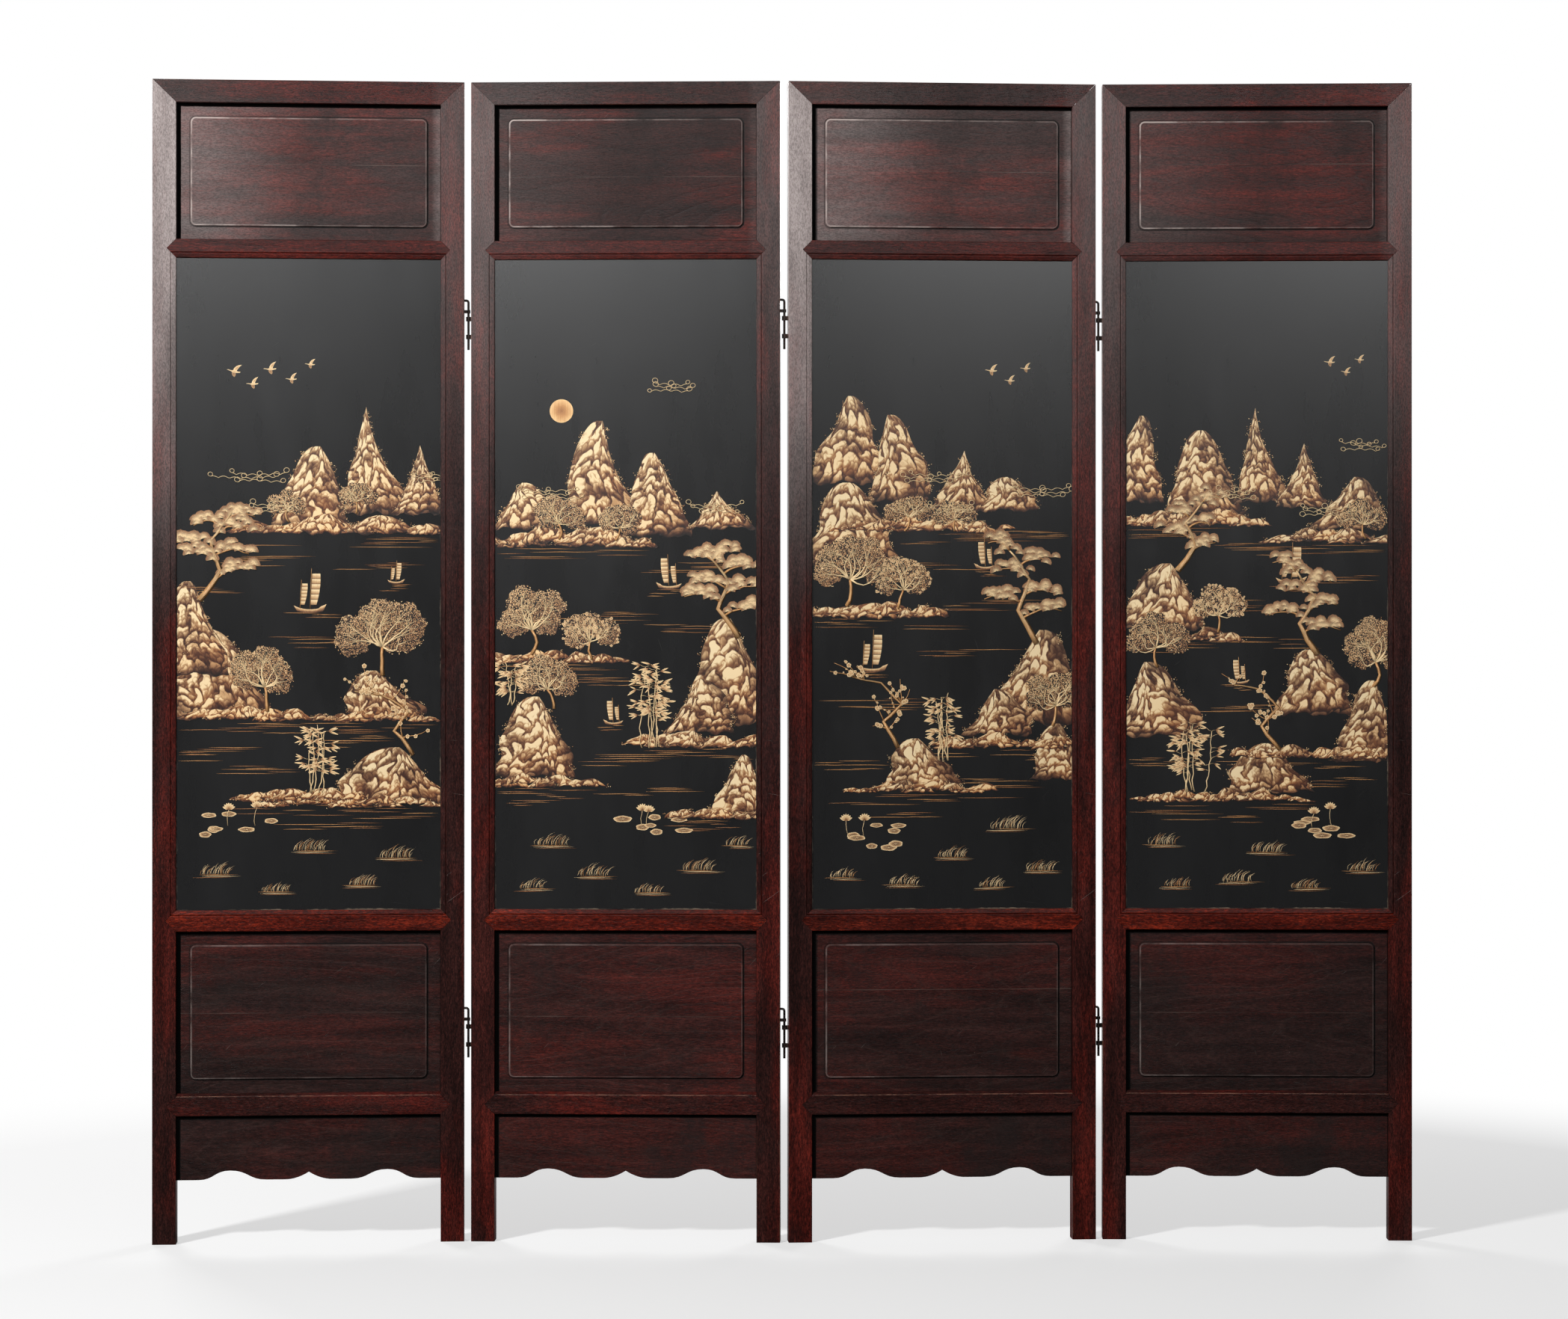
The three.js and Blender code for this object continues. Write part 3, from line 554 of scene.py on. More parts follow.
def makeBoard(leaf, part, kind, seed):
    node = leaf + "_" + part
    isPanel = part in panelOpenings
    chance = random.Random(seed)
    bm = bmesh.new()
    bm.from_mesh(frame["nodes"][node].data)
    bmesh.ops.remove_doubles(bm, verts=bm.verts, dist=0.00002)
    bmesh.ops.dissolve_limit(bm, angle_limit=math.radians(1), verts=bm.verts, edges=bm.edges)
    home = leafPlace[leaf].inverted()
    arrises, low, high = findArrises(bm, home, part, 2 if kind["grain"] == "up" else 0)
    size = arrisSize["board" if part == "lacquer_board" else "panel" if isPanel else "long"]
    eased = bmesh.ops.bevel(bm, geom=arrises, offset=size * mm, offset_type="OFFSET", segments=arrisSize["segments"],
                            profile=0.5, affect="EDGES", clamp_overlap=True, material=-1)
    easedFaces = set(eased["faces"])
    middle = {v for face in easedFaces for v in face.verts if all(f in easedFaces for f in v.link_faces)}
    bm.verts.index_update()
    rubbed = [1.0 if v in middle else 0.0 for v in bm.verts]
    bm.normal_update()
    for face in bm.faces:
        face.smooth = False
    frontFaces = [f.index for f in bm.faces if part == "lacquer_board" and (home.to_3x3() @ f.normal).y < -0.7]
    mesh = bpy.data.meshes.new(node + "_shaped")
    bm.to_mesh(mesh)
    bm.free()

    shift = Vector([chance.uniform(0, 40) for _ in range(3)])
    leafCoords, boardCoords = [], []
    for vertex in mesh.vertices:
        p = home @ vertex.co
        leafCoords.extend(p)
        x, y, z = p - (low + high) / 2
        boardCoords.extend(Vector((z, x, y) if kind["grain"] == "up" else (x, z, y)) + shift)
    extra = boardTones.get(node, (0, 0, 0))
    tone = [kind["tone"][i] + extra[i] + chance.uniform(-0.03, 0.05) for i in range(3)]
    jointAt = low.z + (high.z - low.z) * chance.uniform(0.34, 0.66) if isPanel else -1.0
    fieldMiddle, fieldStraight = (0, 0, 0), (-9000, 0, -9000)
    if isPanel:
        inset = panelField["margin"] + panelField["corner"]
        foot, head = panelOpenings[part]
        fieldMiddle = (leafSize["width"] / 2, 0, (foot + head) / 2)
        fieldStraight = (leafSize["width"] / 2 - leafSize["stile"] - inset, 0, (head - foot) / 2 - inset)
    recess = (leafSize["stile"], leafSize["width"] - leafSize["stile"], recessTops.get(part))
    for name, values in {
            "leafPlace": leafCoords, "boardPlace": boardCoords, "tone": tone, "arris": rubbed, "jointLine": [jointAt],
            "fieldMiddle": [c * mm for c in fieldMiddle], "fieldStraight": [c * mm for c in fieldStraight],
            "recess": [c * mm for c in recess] if part in recessTops else (-9, 9, 9)}.items():
        addAttribute(mesh, name, values)
    mesh.materials.append(woods[kind["wood"]])
    if part == "lacquer_board":
        mesh.materials.append(lacquer)
        for index in frontFaces:
            mesh.polygons[index].material_index = 1
    piece = bpy.data.objects.new(node + "_shaped", mesh)
    scene.collection.objects.link(piece)
    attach(piece, leaf)
    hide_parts(node)


seed = 11
for leafName in leafNames:
    for partName, partKind in boardKinds.items():
        makeBoard(leafName, partName, partKind, seed)
        seed += 1
print("boards made")

# gilt pictures
# Drawn in millimetres on each board's own field: x from its left edge, z up from its foot, -y towards the viewer.
# Every shape is a thin closed relief that reaches down into the lacquer. "gilt" is how thick the gold powder lies,
# "warm" how coppery it is, and "brush" places the brush marks, folds or leaf marks.

fieldWidth = leafSize["width"] - 2 * leafSize["stile"]
relief = {  # how far the shapes stand off the board
    "sunk": -0.12, "sun": 0.14, "mountain": 0.15, "mountainStep": 0.03, "bank": 0.6, "shrub": 1.0, "goose": 0.1,
    "tree": 1.1, "pine": 1.15, "mist": 1.3, "lotus": 0.25, "reed": 0.2, "water": 0.16,
}
strokeTones = {  # how thick and how coppery each kind of stroke is
    "bright": (0.98, 0.4), "pale": (0.95, 0.25), "bark": (0.68, 0.8), "copper": (0.62, 0.9), "dull": (0.46, 0.8)}
strokeFlat = 0.4  # strokes stand this share of their radius off the board
rockNumber, foliageNumber = 1, 2  # places in the list of gildings; lines and leaves have 0


def newShape():
    bm = bmesh.new()
    layers = bm.verts.layers
    return bm, layers.float.new("gilt"), layers.float.new("warm"), layers.float_vector.new("brush")


def addDisc(bm, segments, radius=1):
    return bmesh.ops.create_circle(bm, cap_ends=True, cap_tris=True, segments=segments, radius=radius)["verts"]


def closeUnder(bm):
    # walls from the rim down into the lacquer, and a floor, so that the relief is a closed solid
    rim = [edge for edge in bm.edges if edge.is_boundary]
    grown = bmesh.ops.extrude_edge_only(bm, edges=rim)["geom"]
    for vert in (item for item in grown if isinstance(item, bmesh.types.BMVert)):
        vert.co.y = -relief["sunk"]
    bmesh.ops.holes_fill(bm, edges=[item for item in grown if isinstance(item, bmesh.types.BMEdge)], sides=0)


def asMesh(bm):
    bmesh.ops.recalc_face_normals(bm, faces=bm.faces)
    mesh = bpy.data.meshes.new("shape")
    bm.to_mesh(mesh)
    bm.free()
    return mesh


def stamp(target, mesh, matrix):
    copy = mesh.copy()
    copy.transform(matrix)
    if matrix.determinant() < 0:
        copy.flip_normals()
    target.from_mesh(copy)
    bpy.data.meshes.remove(copy)


def lay(target, bm, number=0):
    # closed shape put where it was drawn, with the material of that number
    for face in bm.faces:
        face.material_index = number
    mesh = asMesh(bm)
    target.from_mesh(mesh)
    bpy.data.meshes.remove(mesh)


def onField(x, z, size=1.0, turn=0.0, level=0.0, mirror=False):
    flip = Matrix.Scale(-1, 4, (1, 0, 0)) if mirror else Matrix.Identity(4)
    place = Matrix.Translation((x, -level, z)) @ Matrix.Rotation(-turn, 4, "Y")
    return place @ Matrix.Diagonal((size, 1, size, 1)) @ flip


def bend(chance, start, end, sag, count=7):
    # points along a gentle arc from start to end, pushed aside by sag
    start, end = Vector(start), Vector(end)
    side = Vector((-(end - start).y, (end - start).x)).normalized()
    points = []
    for i in range(count):
        t = i / (count - 1)
        aside = sag * math.sin(math.pi * t) + chance.uniform(-0.02, 0.02) * (end - start).length
        points.append(start.lerp(end, t) + side * aside)
    return points


def bentPath(chance, path, sag, count):
    points = []
    for a, b in zip(path, path[1:]):
        points += bend(chance, a, b, chance.uniform(-sag, sag), count)[:-1]
    return points + [Vector(path[-1])]


def taper(points, thick, thin):
    return [thick + (thin - thick) * (i / (len(points) - 1)) for i in range(len(points))]


# leaf, blossom and bird shapes that are stamped many times


def makeFan(size=10.0, needles=19):
    # needle fan of a pine: a half-round pad of dull gold with fine needles over it
    bm, gilt, warm, brush = newShape()
    bmesh.ops.create_grid(bm, x_segments=12, y_segments=2, size=1)
    for vert in bm.verts:
        s, t = (vert.co.x + 1) / 2, (1 - vert.co.y) / 2
        angle = math.radians(200) * (1 - s) - math.radians(10)
        reach = size * (1.0 + 0.06 * math.sin(9 * angle)) * (1 - 0.85 * t)
        vert[gilt], vert[warm], vert[brush] = 0.16 + 0.26 * (1 - t), 0.8, (s * size * 3, t * size, 0)
        vert.co = (math.cos(angle) * reach, -0.1, math.sin(angle) * reach)
    closeUnder(bm)
    flat = Matrix.Translation((0, -0.16, 0)) @ Matrix.Scale(0.5, 4, (0, 1, 0))
    for i in range(needles):
        angle = math.radians(-8 + 196 * i / (needles - 1))
        needle = bmesh.ops.create_cone(bm, cap_ends=True, segments=3, radius1=0.3, radius2=0.05, depth=size * 0.98)
        for vert in needle["verts"]:
            vert[gilt], vert[warm], vert[brush] = 0.95, 0.45, (i, 0, 0)
        turn = Matrix.Rotation(-angle, 4, "Y") @ Matrix.Rotation(math.pi / 2, 4, "Y")
        move = Matrix.Translation((math.cos(angle) * size * 0.53, 0, math.sin(angle) * size * 0.53))
        bmesh.ops.transform(bm, matrix=flat @ move @ turn, verts=needle["verts"])
    return asMesh(bm)


def makeBambooLeaf(length=13, width=2.3):
    # pointed leaf with its base at the origin, growing along z
    bm, gilt, warm, brush = newShape()
    addDisc(bm, 10)
    for vert in bm.verts:
        along, side = (vert.co.y + 1) / 2, vert.co.x
        fall = math.sin(math.pi * along ** 0.8) if 0 < along < 1 else 0
        isCentre = vert.co.length < 0.1
        vert[gilt] = 0.35 if along < 0.3 else 0.665 if isCentre else 0.98
        vert[warm], vert[brush] = 0.45, (side * 3, along * length, 0)
        vert.co = (side * width / 2 * (0.5 + 0.5 * fall), -0.24 if isCentre else -0.16, along * length)
    closeUnder(bm)
    return asMesh(bm)


def makeBlossom(radius=3.4):
    bm, gilt, warm, brush = newShape()
    for k in range(5):
        angle = math.radians(90 + 72 * k)
        for vert in addDisc(bm, 8):
            isCentre = vert.co.length < 0.1
            out, side = vert.co.y * radius * 0.42 + radius * 0.55, vert.co.x * radius * 0.46
            vert[gilt] = 0.62 if isCentre or vert.co.y < -0.4 else 1.05
            vert[warm], vert[brush] = 0.3, (side, out, k)
            vert.co = (math.cos(angle) * out - math.sin(angle) * side, -(0.30 if isCentre else 0.24) - 0.012 * k,
                       math.sin(angle) * out + math.cos(angle) * side)
    closeUnder(bm)
    for vert in bmesh.ops.create_icosphere(bm, subdivisions=1, radius=radius * 0.2)["verts"]:
        vert[gilt], vert[warm], vert[brush] = 0.8, 0.9, (0, 0, 0)
        vert.co.y = vert.co.y * 0.4 - 0.3
    return asMesh(bm)


gooseShape = {  # outline, thickness of the gold and level of each plate
    "body": ([(-15, 2.2), (-12, 3.0), (-7, 1.6), (-2, 2.4), (4, 2.2), (10, 0.4), (13, 1.2), (12, -0.8), (5, -2.0),
              (-2, -1.8), (-7, 0.4), (-12, 1.8)], 0.95, 0.2),
    "nearWing": ([(-2, 1.6), (-1, 6), (3, 11), (8, 14), (14, 15.5), (10, 11), (7, 6), (5, 1.6)], 0.9, 0.26),
    "farWing": ([(-3, 0), (-4, -4), (-2, -8), (2, -11), (4, -8), (4, -3), (3, 0)], 0.6, 0.16),
}


def makeGoose():
    # on the wing, seen from the side, flying to the left
    bm, gilt, warm, brush = newShape()
    for points, bright, level in gooseShape.values():
        made = addDisc(bm, len(points))
        rim = [v for v in made if v.co.length > 0.5]
        hub = [v for v in made if v.co.length <= 0.5]
        for vert, (x, z) in zip(rim, points):
            vert.co = (x, -level, z)
            vert[gilt], vert[warm], vert[brush] = bright, 0.15, (x * 2, z, 0)
        for vert in hub:
            vert.co = sum((v.co for v in rim), Vector()) / len(rim) + Vector((0, -0.14, 0))
            vert[gilt], vert[warm], vert[brush] = bright * 0.7, 0.3, (0, 0, 0)
    closeUnder(bm)
    return asMesh(bm)


def makeDot(bright, size=1.25):
    # leaf mark: a small lozenge
    bm, gilt, warm, brush = newShape()
    bmesh.ops.create_circle(bm, cap_ends=True, segments=4, radius=size)
    for vert in bm.verts:
        vert[gilt], vert[warm], vert[brush] = bright, 0.5, (vert.co.x, vert.co.y, bright)
        vert.co = (vert.co.x * 0.62, -0.1, vert.co.y)
    closeUnder(bm)
    return asMesh(bm)


fan, blossom, bambooLeaf, goose = makeFan(), makeBlossom(), makeBambooLeaf(), makeGoose()
leafDots = [makeDot(bright) for bright in (0.5, 0.72, 0.95)]

# parts of the landscape


def addSun(target, x, z, radius):
    bm, gilt, warm, brush = newShape()
    for vert in addDisc(bm, 40, radius):
        vert[gilt] = 0.5 if vert.co.length < 1 else 0.86
        vert[warm], vert[brush] = 0.9, (vert.co.x, vert.co.y * 0.2, 0)
        vert.co = (x + vert.co.x, -relief["sun"], z + vert.co.y)
    closeUnder(bm)
    lay(target, bm)


def addMountain(target, chance, top, left, right, low, power, fold, warm=0.0, level=relief["mountain"]):
    # the material's folds run from the top and spread towards the ends of the foot; a power under 1 makes a
    # rounded hill and one over 1 a sharp peak
    height, width = top[1] - low, right - left

    def wave(slow, quick, *size):
        return (chance.uniform(slow, quick), chance.uniform(0, 6.3), *size)

    (swayCount, swayPhase), sway = wave(2.5, 4.5), chance.uniform(0.03, 0.065) * height
    bumps = [wave(4, 7, 0.10), wave(11, 17, 0.05)]
    edge = [wave(6, 9, 0.022), wave(15, 21, 0.012)]
    # one flank of a hill is steep and the other runs out
    powers = chance.choice(((0.34, 0.8), (0.85, 0.36), (0.4, 0.5))) if power < 1 else (power * 0.8, power * 1.05)

    def place(u, v):
        reach = (right if u > 0 else left) - top[0]
        bump = 1 + sum(size * math.sin(count * v + phase + 2 * u) for count, phase, size in bumps) * min(1.0, 4 * v)
        flank = reach * abs(u) * (0.004 + 0.996 * v) ** powers[u > 0] * bump
        foot = sum(size * math.sin(count * u + phase) for count, phase, size in edge) * width * v ** 3
        drop = 0.10 * height * u * u * min(1.0, 3 * v) * (1.2 - v)
        x = top[0] + flank + sway * math.sin(swayCount * v + swayPhase)
        return Vector((x, low + height * (1 - v) - drop + foot))

    bm, gilt, warmLayer, brush = newShape()
    bmesh.ops.create_grid(bm, x_segments=max(10, int(width / 5)), y_segments=max(6, int(height / 5)), size=1)
    columns, rows, shift = max(2.5, 0.72 * width / fold), height / (1.5 * fold), chance.uniform(0, 40)
    for vert in bm.verts:
        u, v = vert.co.x, ((1 - vert.co.y) / 2) ** 1.4
        at = place(u, v)
        mass = 0.95 - 0.2 * u - 0.3 * abs(u) ** 3 - 0.3 * max(0.0, v - 0.5)
        mass += 0.16 * math.sin(at.x * 0.085 + at.y * 0.05)
        vert[gilt] = mass * (1 - 0.75 * max(0.0, v - 0.86) / 0.14)
        vert[warmLayer] = warm + 0.7 * min(1.0, max(0.0, 0.3 * u + 0.85 * v - 0.15))
        vert[brush] = (u * columns / 2 * (0.35 + 0.65 * v ** 0.5) + shift, v * rows - 0.35 * u * u + shift, level * 40)
        vert.co = (at.x, -level, at.y)
    closeUnder(bm)
    lay(target, bm, rockNumber)
    return [place(side, v) for side in (-1, 1) for v in [chance.uniform(0.05, 0.95) for _ in range(int(height / 9))]]


def addShrubs(target, chance, spots, spread=2.6):
    # tiny leaves along the edge of a rock
    for spot in spots:
        for _ in range(chance.randint(4, 8)):
            at = spot + Vector((chance.gauss(0, spread), chance.gauss(0.5 * spread, 0.7 * spread)))
            stamp(target, chance.choice(leafDots),
                  onField(*at, chance.uniform(0.5, 0.9), chance.uniform(0, 6.3), relief["shrub"]))


def waterLine(chance, x, z, length):
    x0, x1 = max(4, x - length / 2), min(fieldWidth - 4, x + length / 2)
    points = [Vector((x0 + (x1 - x0) * i / 5, z + chance.uniform(-0.35, 0.35))) for i in range(6)]
    return points, [0.08, 0.42, 0.6, 0.5, 0.3, 0.06], relief["water"]


def addWater(target, strokes, chance, x, z, length, count):
    for i in range(count):
        tone = chance.choice(("copper", "copper", "dull"))
        strokes[tone].append(waterLine(chance, x + chance.uniform(-0.4, 0.4) * length,
                                       z - i * chance.uniform(2.2, 3.6), length * chance.uniform(0.35, 1.0)))


def addBank(target, strokes, chance, x0, x1, z, height, warm=0.25):
    # low shore of overlapping mounds, ending thin at both ends
    x, index = x0, 0
    while x < x1:
        share = math.sin(math.pi * min(0.97, max(0.03, (x - x0) / (x1 - x0)))) ** 0.5
        if x0 < 12 or x1 > fieldWidth - 12:
            share = max(share, 0.65)
        tall = height * share * chance.uniform(0.55, 1.15)
        wide = tall * chance.uniform(1.1, 2.0) + 7
        foot = z + chance.uniform(-3, 5)
        top = (x + chance.uniform(-0.4, 0.4) * wide, foot + tall)
        rim = addMountain(target, chance, top, x - wide, x + wide, foot, 0.62, chance.uniform(8.0, 12.0),
                          warm + chance.uniform(-0.2, 0.3), relief["bank"] + 0.02 * (index % 9))
        addShrubs(target, chance, rim, spread=2.2)
        x += wide * chance.uniform(0.7, 1.0)
        index += 1
    for k in range(7):
        tone = chance.choice(("copper", "dull"))
        strokes[tone].append(waterLine(chance, chance.uniform(x0, x1), z - 5 - 2.6 * k,
                                       (x1 - x0) * chance.uniform(0.2, 0.6)))


def addGoose(target, strokes, chance, x, z, size):
    stamp(target, goose, onField(x, z, size, chance.uniform(-0.15, 0.15), relief["goose"]))


def addBoat(target, strokes, chance, x, z, size, mirror):
    # trading junk: planked hull and two battened sails
    bm, gilt, warm, brush = newShape()
    bmesh.ops.create_grid(bm, x_segments=12, y_segments=3, size=1)
    for vert in bm.verts:
        s, t = vert.co.x, (1 - vert.co.y) / 2
        sheer = 2.5 + 5.5 * abs(s) ** 2.2 + (2.0 if s > 0.6 else 0)
        vert[gilt], vert[warm], vert[brush] = 0.92 - 0.75 * t, 0.45, (s * 20, t * 9, 1)
        vert.co = (s * (23 - 5 * t), -0.24, sheer * (1 - t) - 2.5 * t * (1 - s * s))
    closeUnder(bm)
    for offset, tall, wide in ((2, 44, 15), (-12, 30, 10)):
        for part in range(6):
            low, high = part / 6, (part + 0.94) / 6
            for vert in bmesh.ops.create_grid(bm, x_segments=4, y_segments=2, size=1)["verts"]:
                s, t = (vert.co.x + 1) / 2, (vert.co.y + 1) / 2
                g = low + (high - low) * t
                edge = wide * (0.55 + 0.75 * g - 0.55 * g * g)
                vert[gilt], vert[warm], vert[brush] = 0.45 + 0.5 * t + 0.12 * s, 0.25, (s * 12, t * 5, part)
                vert.co = (offset - 1.5 + s * edge + 2.5 * g, -0.26, 9 + g * tall)
    closeUnder(bm)
    mesh = asMesh(bm)
    stamp(target, mesh, onField(x, z, size, mirror=mirror))
    bpy.data.meshes.remove(mesh)
    way = -1 if mirror else 1
    for offset, tall in ((2, 56), (-12, 40)):
        foot = Vector((x + way * (offset - 2) * size, z + 4 * size))
        strokes["bark"].append(([foot, foot + Vector((way * 2.0, tall)) * size], [0.5, 0.3], 0.5))
    addWater(target, strokes, chance, x, z - 3, 60 * size, 4)


def addTree(target, strokes, chance, foot, height, width, puffs, flowers=0.0, warmth=0.65):
    # round-headed tree: a forked trunk, and clouds of leaf marks with the twigs showing through
    level, foot = relief["tree"], Vector(foot)
    fork = foot + Vector((chance.uniform(-0.1, 0.1) * width, height * 0.34))
    trunk = bend(chance, foot, fork, chance.uniform(-0.08, 0.08) * height, 5)
    strokes["bark"].append((trunk, taper(trunk, height * 0.026, height * 0.018), level))
    for k in range(puffs):
        angle = math.radians(-12 + 204 * (k + chance.uniform(0.2, 0.8)) / puffs)
        far = chance.choice((0.55, 0.8, 1.0))
        radius = width * chance.uniform(0.15, 0.22)
        hub = fork + Vector((math.cos(angle) * (width / 2 - radius) * far,
                             height * 0.1 + math.sin(angle) * (height * 0.56 - radius) * far))
        bough = bend(chance, fork, hub, chance.uniform(-0.12, 0.12) * width, 6)
        strokes["pale"].append((bough, taper(bough, height * 0.013, 0.3), level + 0.2))
        for _ in range(4):
            way = angle + chance.uniform(-1.3, 1.3)
            end = hub + Vector((math.cos(way), math.sin(way))) * radius * chance.uniform(0.5, 0.8)
            twig = bend(chance, bough[4], end, chance.uniform(-2, 2), 4)
            strokes["pale"].append((twig, [0.36, 0.3, 0.22, 0.12], level + 0.2))
        bm, gilt, warm, brush = newShape()
        addDisc(bm, 26)
        bmesh.ops.subdivide_edges(bm, edges=[edge for edge in bm.edges if not edge.is_boundary], cuts=2)
        for vert in bm.verts:
            way, out = math.atan2(vert.co.y, vert.co.x), vert.co.length
            scallop = 1 + 0.12 * math.sin(5 * way + k) * out + 0.06 * math.sin(11 * way + 2 * k) * out
            x, z = math.cos(way) * out * radius * scallop, 0.86 * math.sin(way) * out * radius * scallop
            vert[gilt] = 0.78 + 0.26 * math.cos(way - math.radians(120)) * out
            vert[warm], vert[brush] = warmth + chance.uniform(-0.1, 0.1), (x, z, hub.x)
            vert.co = (hub.x + x, -(level - 0.2 + 0.012 * k), hub.y + z)
        closeUnder(bm)
        lay(target, bm, foliageNumber)
        for _ in range(int(radius * 2.2)):
            way, out = chance.uniform(0, 2 * math.pi), chance.uniform(0.85, 1.12)
            spot = hub + Vector((math.cos(way), 0.86 * math.sin(way))) * radius * out
            if chance.random() < flowers:
                stamp(target, blossom, onField(*spot, chance.uniform(0.5, 0.8), chance.uniform(0, 6), level))
            else:
                stamp(target, chance.choice(leafDots),
                      onField(*spot, chance.uniform(0.7, 1.1), chance.uniform(0, 6.3), level - 0.1))


def addCloud(target, strokes, chance, x, z, width):
    # band of mist in fine line: low rolls, some of them ending in a curl
    for line in range(3):
        length = width * chance.uniform(0.6, 1.0)
        start = x - length / 2 + chance.uniform(-0.15, 0.15) * width
        count = max(8, int(length / 3))
        roll = []
        for i in range(count + 1):
            rise = 3.2 * abs(math.sin(i * 0.55 + line)) + 1.2 * math.sin(i * 0.21 + line)
            roll.append(Vector((start + length * i / count, z + 5.5 * line + rise)))
        strokes["pale"].append((roll, [0.2] + [0.46] * (count - 1) + [0.2], relief["mist"]))
        for end, way in ((roll[0], -1), (roll[-1], 1), (roll[count // 2], 1)):
            size = chance.uniform(3.4, 5.6)
            curl = [end + Vector((way * size * (1.2 - a / 9) * math.sin(a), size * (1 - math.cos(a)) * (1 - a / 12)))
                    for a in [k * 0.6 for k in range(12)]]
            strokes["pale"].append((curl, [0.46] * 10 + [0.5, 0.5], relief["mist"]))


def addPine(target, strokes, chance, path, boughs, reach):
    # bent trunk along path, and boughs to either side in turn with fans of needles along them
    level, thick, trunk = relief["pine"], 5.0, bentPath(chance, path, 3, 5)
    strokes["bark"].append((trunk, taper(trunk, thick, 1.4), level - 0.3))
    for k in (-0.55, -0.1, 0.4):  # bark lines
        line = [p + Vector((k * thick * (1 - 0.7 * i / len(trunk)), 0)) for i, p in enumerate(trunk)]
        strokes["bright"].append((line, [0.2 if i % 3 else 0.45 for i in range(len(line))], level + thick * 0.3))
    spots = []
    for k in range(boughs):
        share = 0.3 + 0.7 * k / (boughs - 1)
        at = trunk[int(share * (len(trunk) - 1))]
        side = -1 if k % 2 else 1
        end = at + Vector((side * reach * chance.uniform(0.75, 1.1) * (1.15 - 0.45 * share), chance.uniform(2, 16)))
        arm = bend(chance, at, end, 0.13 * reach * side, 7)
        strokes["bark"].append((arm, taper(arm, 2.0, 0.6), level - 0.1))
        count = max(3, int((end - at).length / 8.5))
        for i in range(count):
            here = arm[min(6, int((0.3 + 0.7 * i / (count - 1)) * 6))]
            spots += [here + Vector((chance.uniform(-9, 9), chance.uniform(-2, 5) + 7 * j)) for j in range(2)]
    spots += [trunk[-1] + Vector(by) for by in ((0, 9), (10, 3), (-10, 3), (17, -4), (-17, -4))]
    for index, spot in enumerate(sorted(spots, key=lambda p: -p.y)):
        size, turn = chance.uniform(0.75, 1.1), chance.uniform(-0.3, 0.3)
        stamp(target, fan, onField(*spot, size, turn, level + 0.1 + 0.006 * index))


def addPlum(target, strokes, chance, path, twigs):
    level, trunk = relief["tree"], bentPath(chance, path, 2, 4)
    strokes["bark"].append((trunk, taper(trunk, 3.6, 0.8), level - 0.2))
    strokes["bright"].append(([p + Vector((-0.8, 0.6)) for p in trunk], taper(trunk, 0.35, 0.2), level + 0.9))
    for _ in range(twigs):
        at = chance.choice(trunk[2:])
        aim = Vector((chance.uniform(-1, 1), chance.uniform(0.1, 1))).normalized()
        twig = bend(chance, at, at + aim * chance.uniform(18, 46), chance.uniform(-4, 4), 5)
        strokes["bark"].append((twig, taper(twig, 0.9, 0.3), level))
        for t in range(chance.randint(3, 5)):
            spot = twig[chance.randint(1, 4)] + Vector((chance.uniform(-2.5, 2.5), chance.uniform(-2, 2.5)))
            if 6 < spot.x < fieldWidth - 6:
                size = chance.choice((0.45, 0.8, 1.0, 1.2))
                stamp(target, blossom, onField(*spot, size, chance.uniform(0, 6), level + 0.15 + 0.004 * t))


def addBamboo(target, strokes, chance, x, z, stems, height):
    level = relief["tree"]
    for _ in range(stems):
        foot = Vector((x + chance.uniform(-1, 1) * 3 * stems, z + chance.uniform(-2, 2)))
        top = foot + Vector((chance.uniform(-12, 12), height * chance.uniform(0.7, 1.0)))
        stem = bend(chance, foot, top, chance.uniform(-4, 4), 12)
        radii = [(0.85 if i % 2 else 1.15) * (1 - 0.4 * i / 12) for i in range(12)]
        strokes["bright"].append((stem, radii, level - 0.2))
        for i in range(4, 12):
            for side in (-1, 1):
                if chance.random() < 0.55:
                    continue
                tip = stem[i] + Vector((side * chance.uniform(5, 11), chance.uniform(-1, 5)))
                strokes["bright"].append((bend(chance, stem[i], tip, 0.8, 3), [0.3, 0.25, 0.2], level))
                for j in range(chance.randint(2, 4)):
                    turn = -side * (math.pi / 2 + chance.uniform(-0.5, 0.8))
                    stamp(target, bambooLeaf, onField(*tip, chance.uniform(0.8, 1.4), turn, level + 0.02 * j))


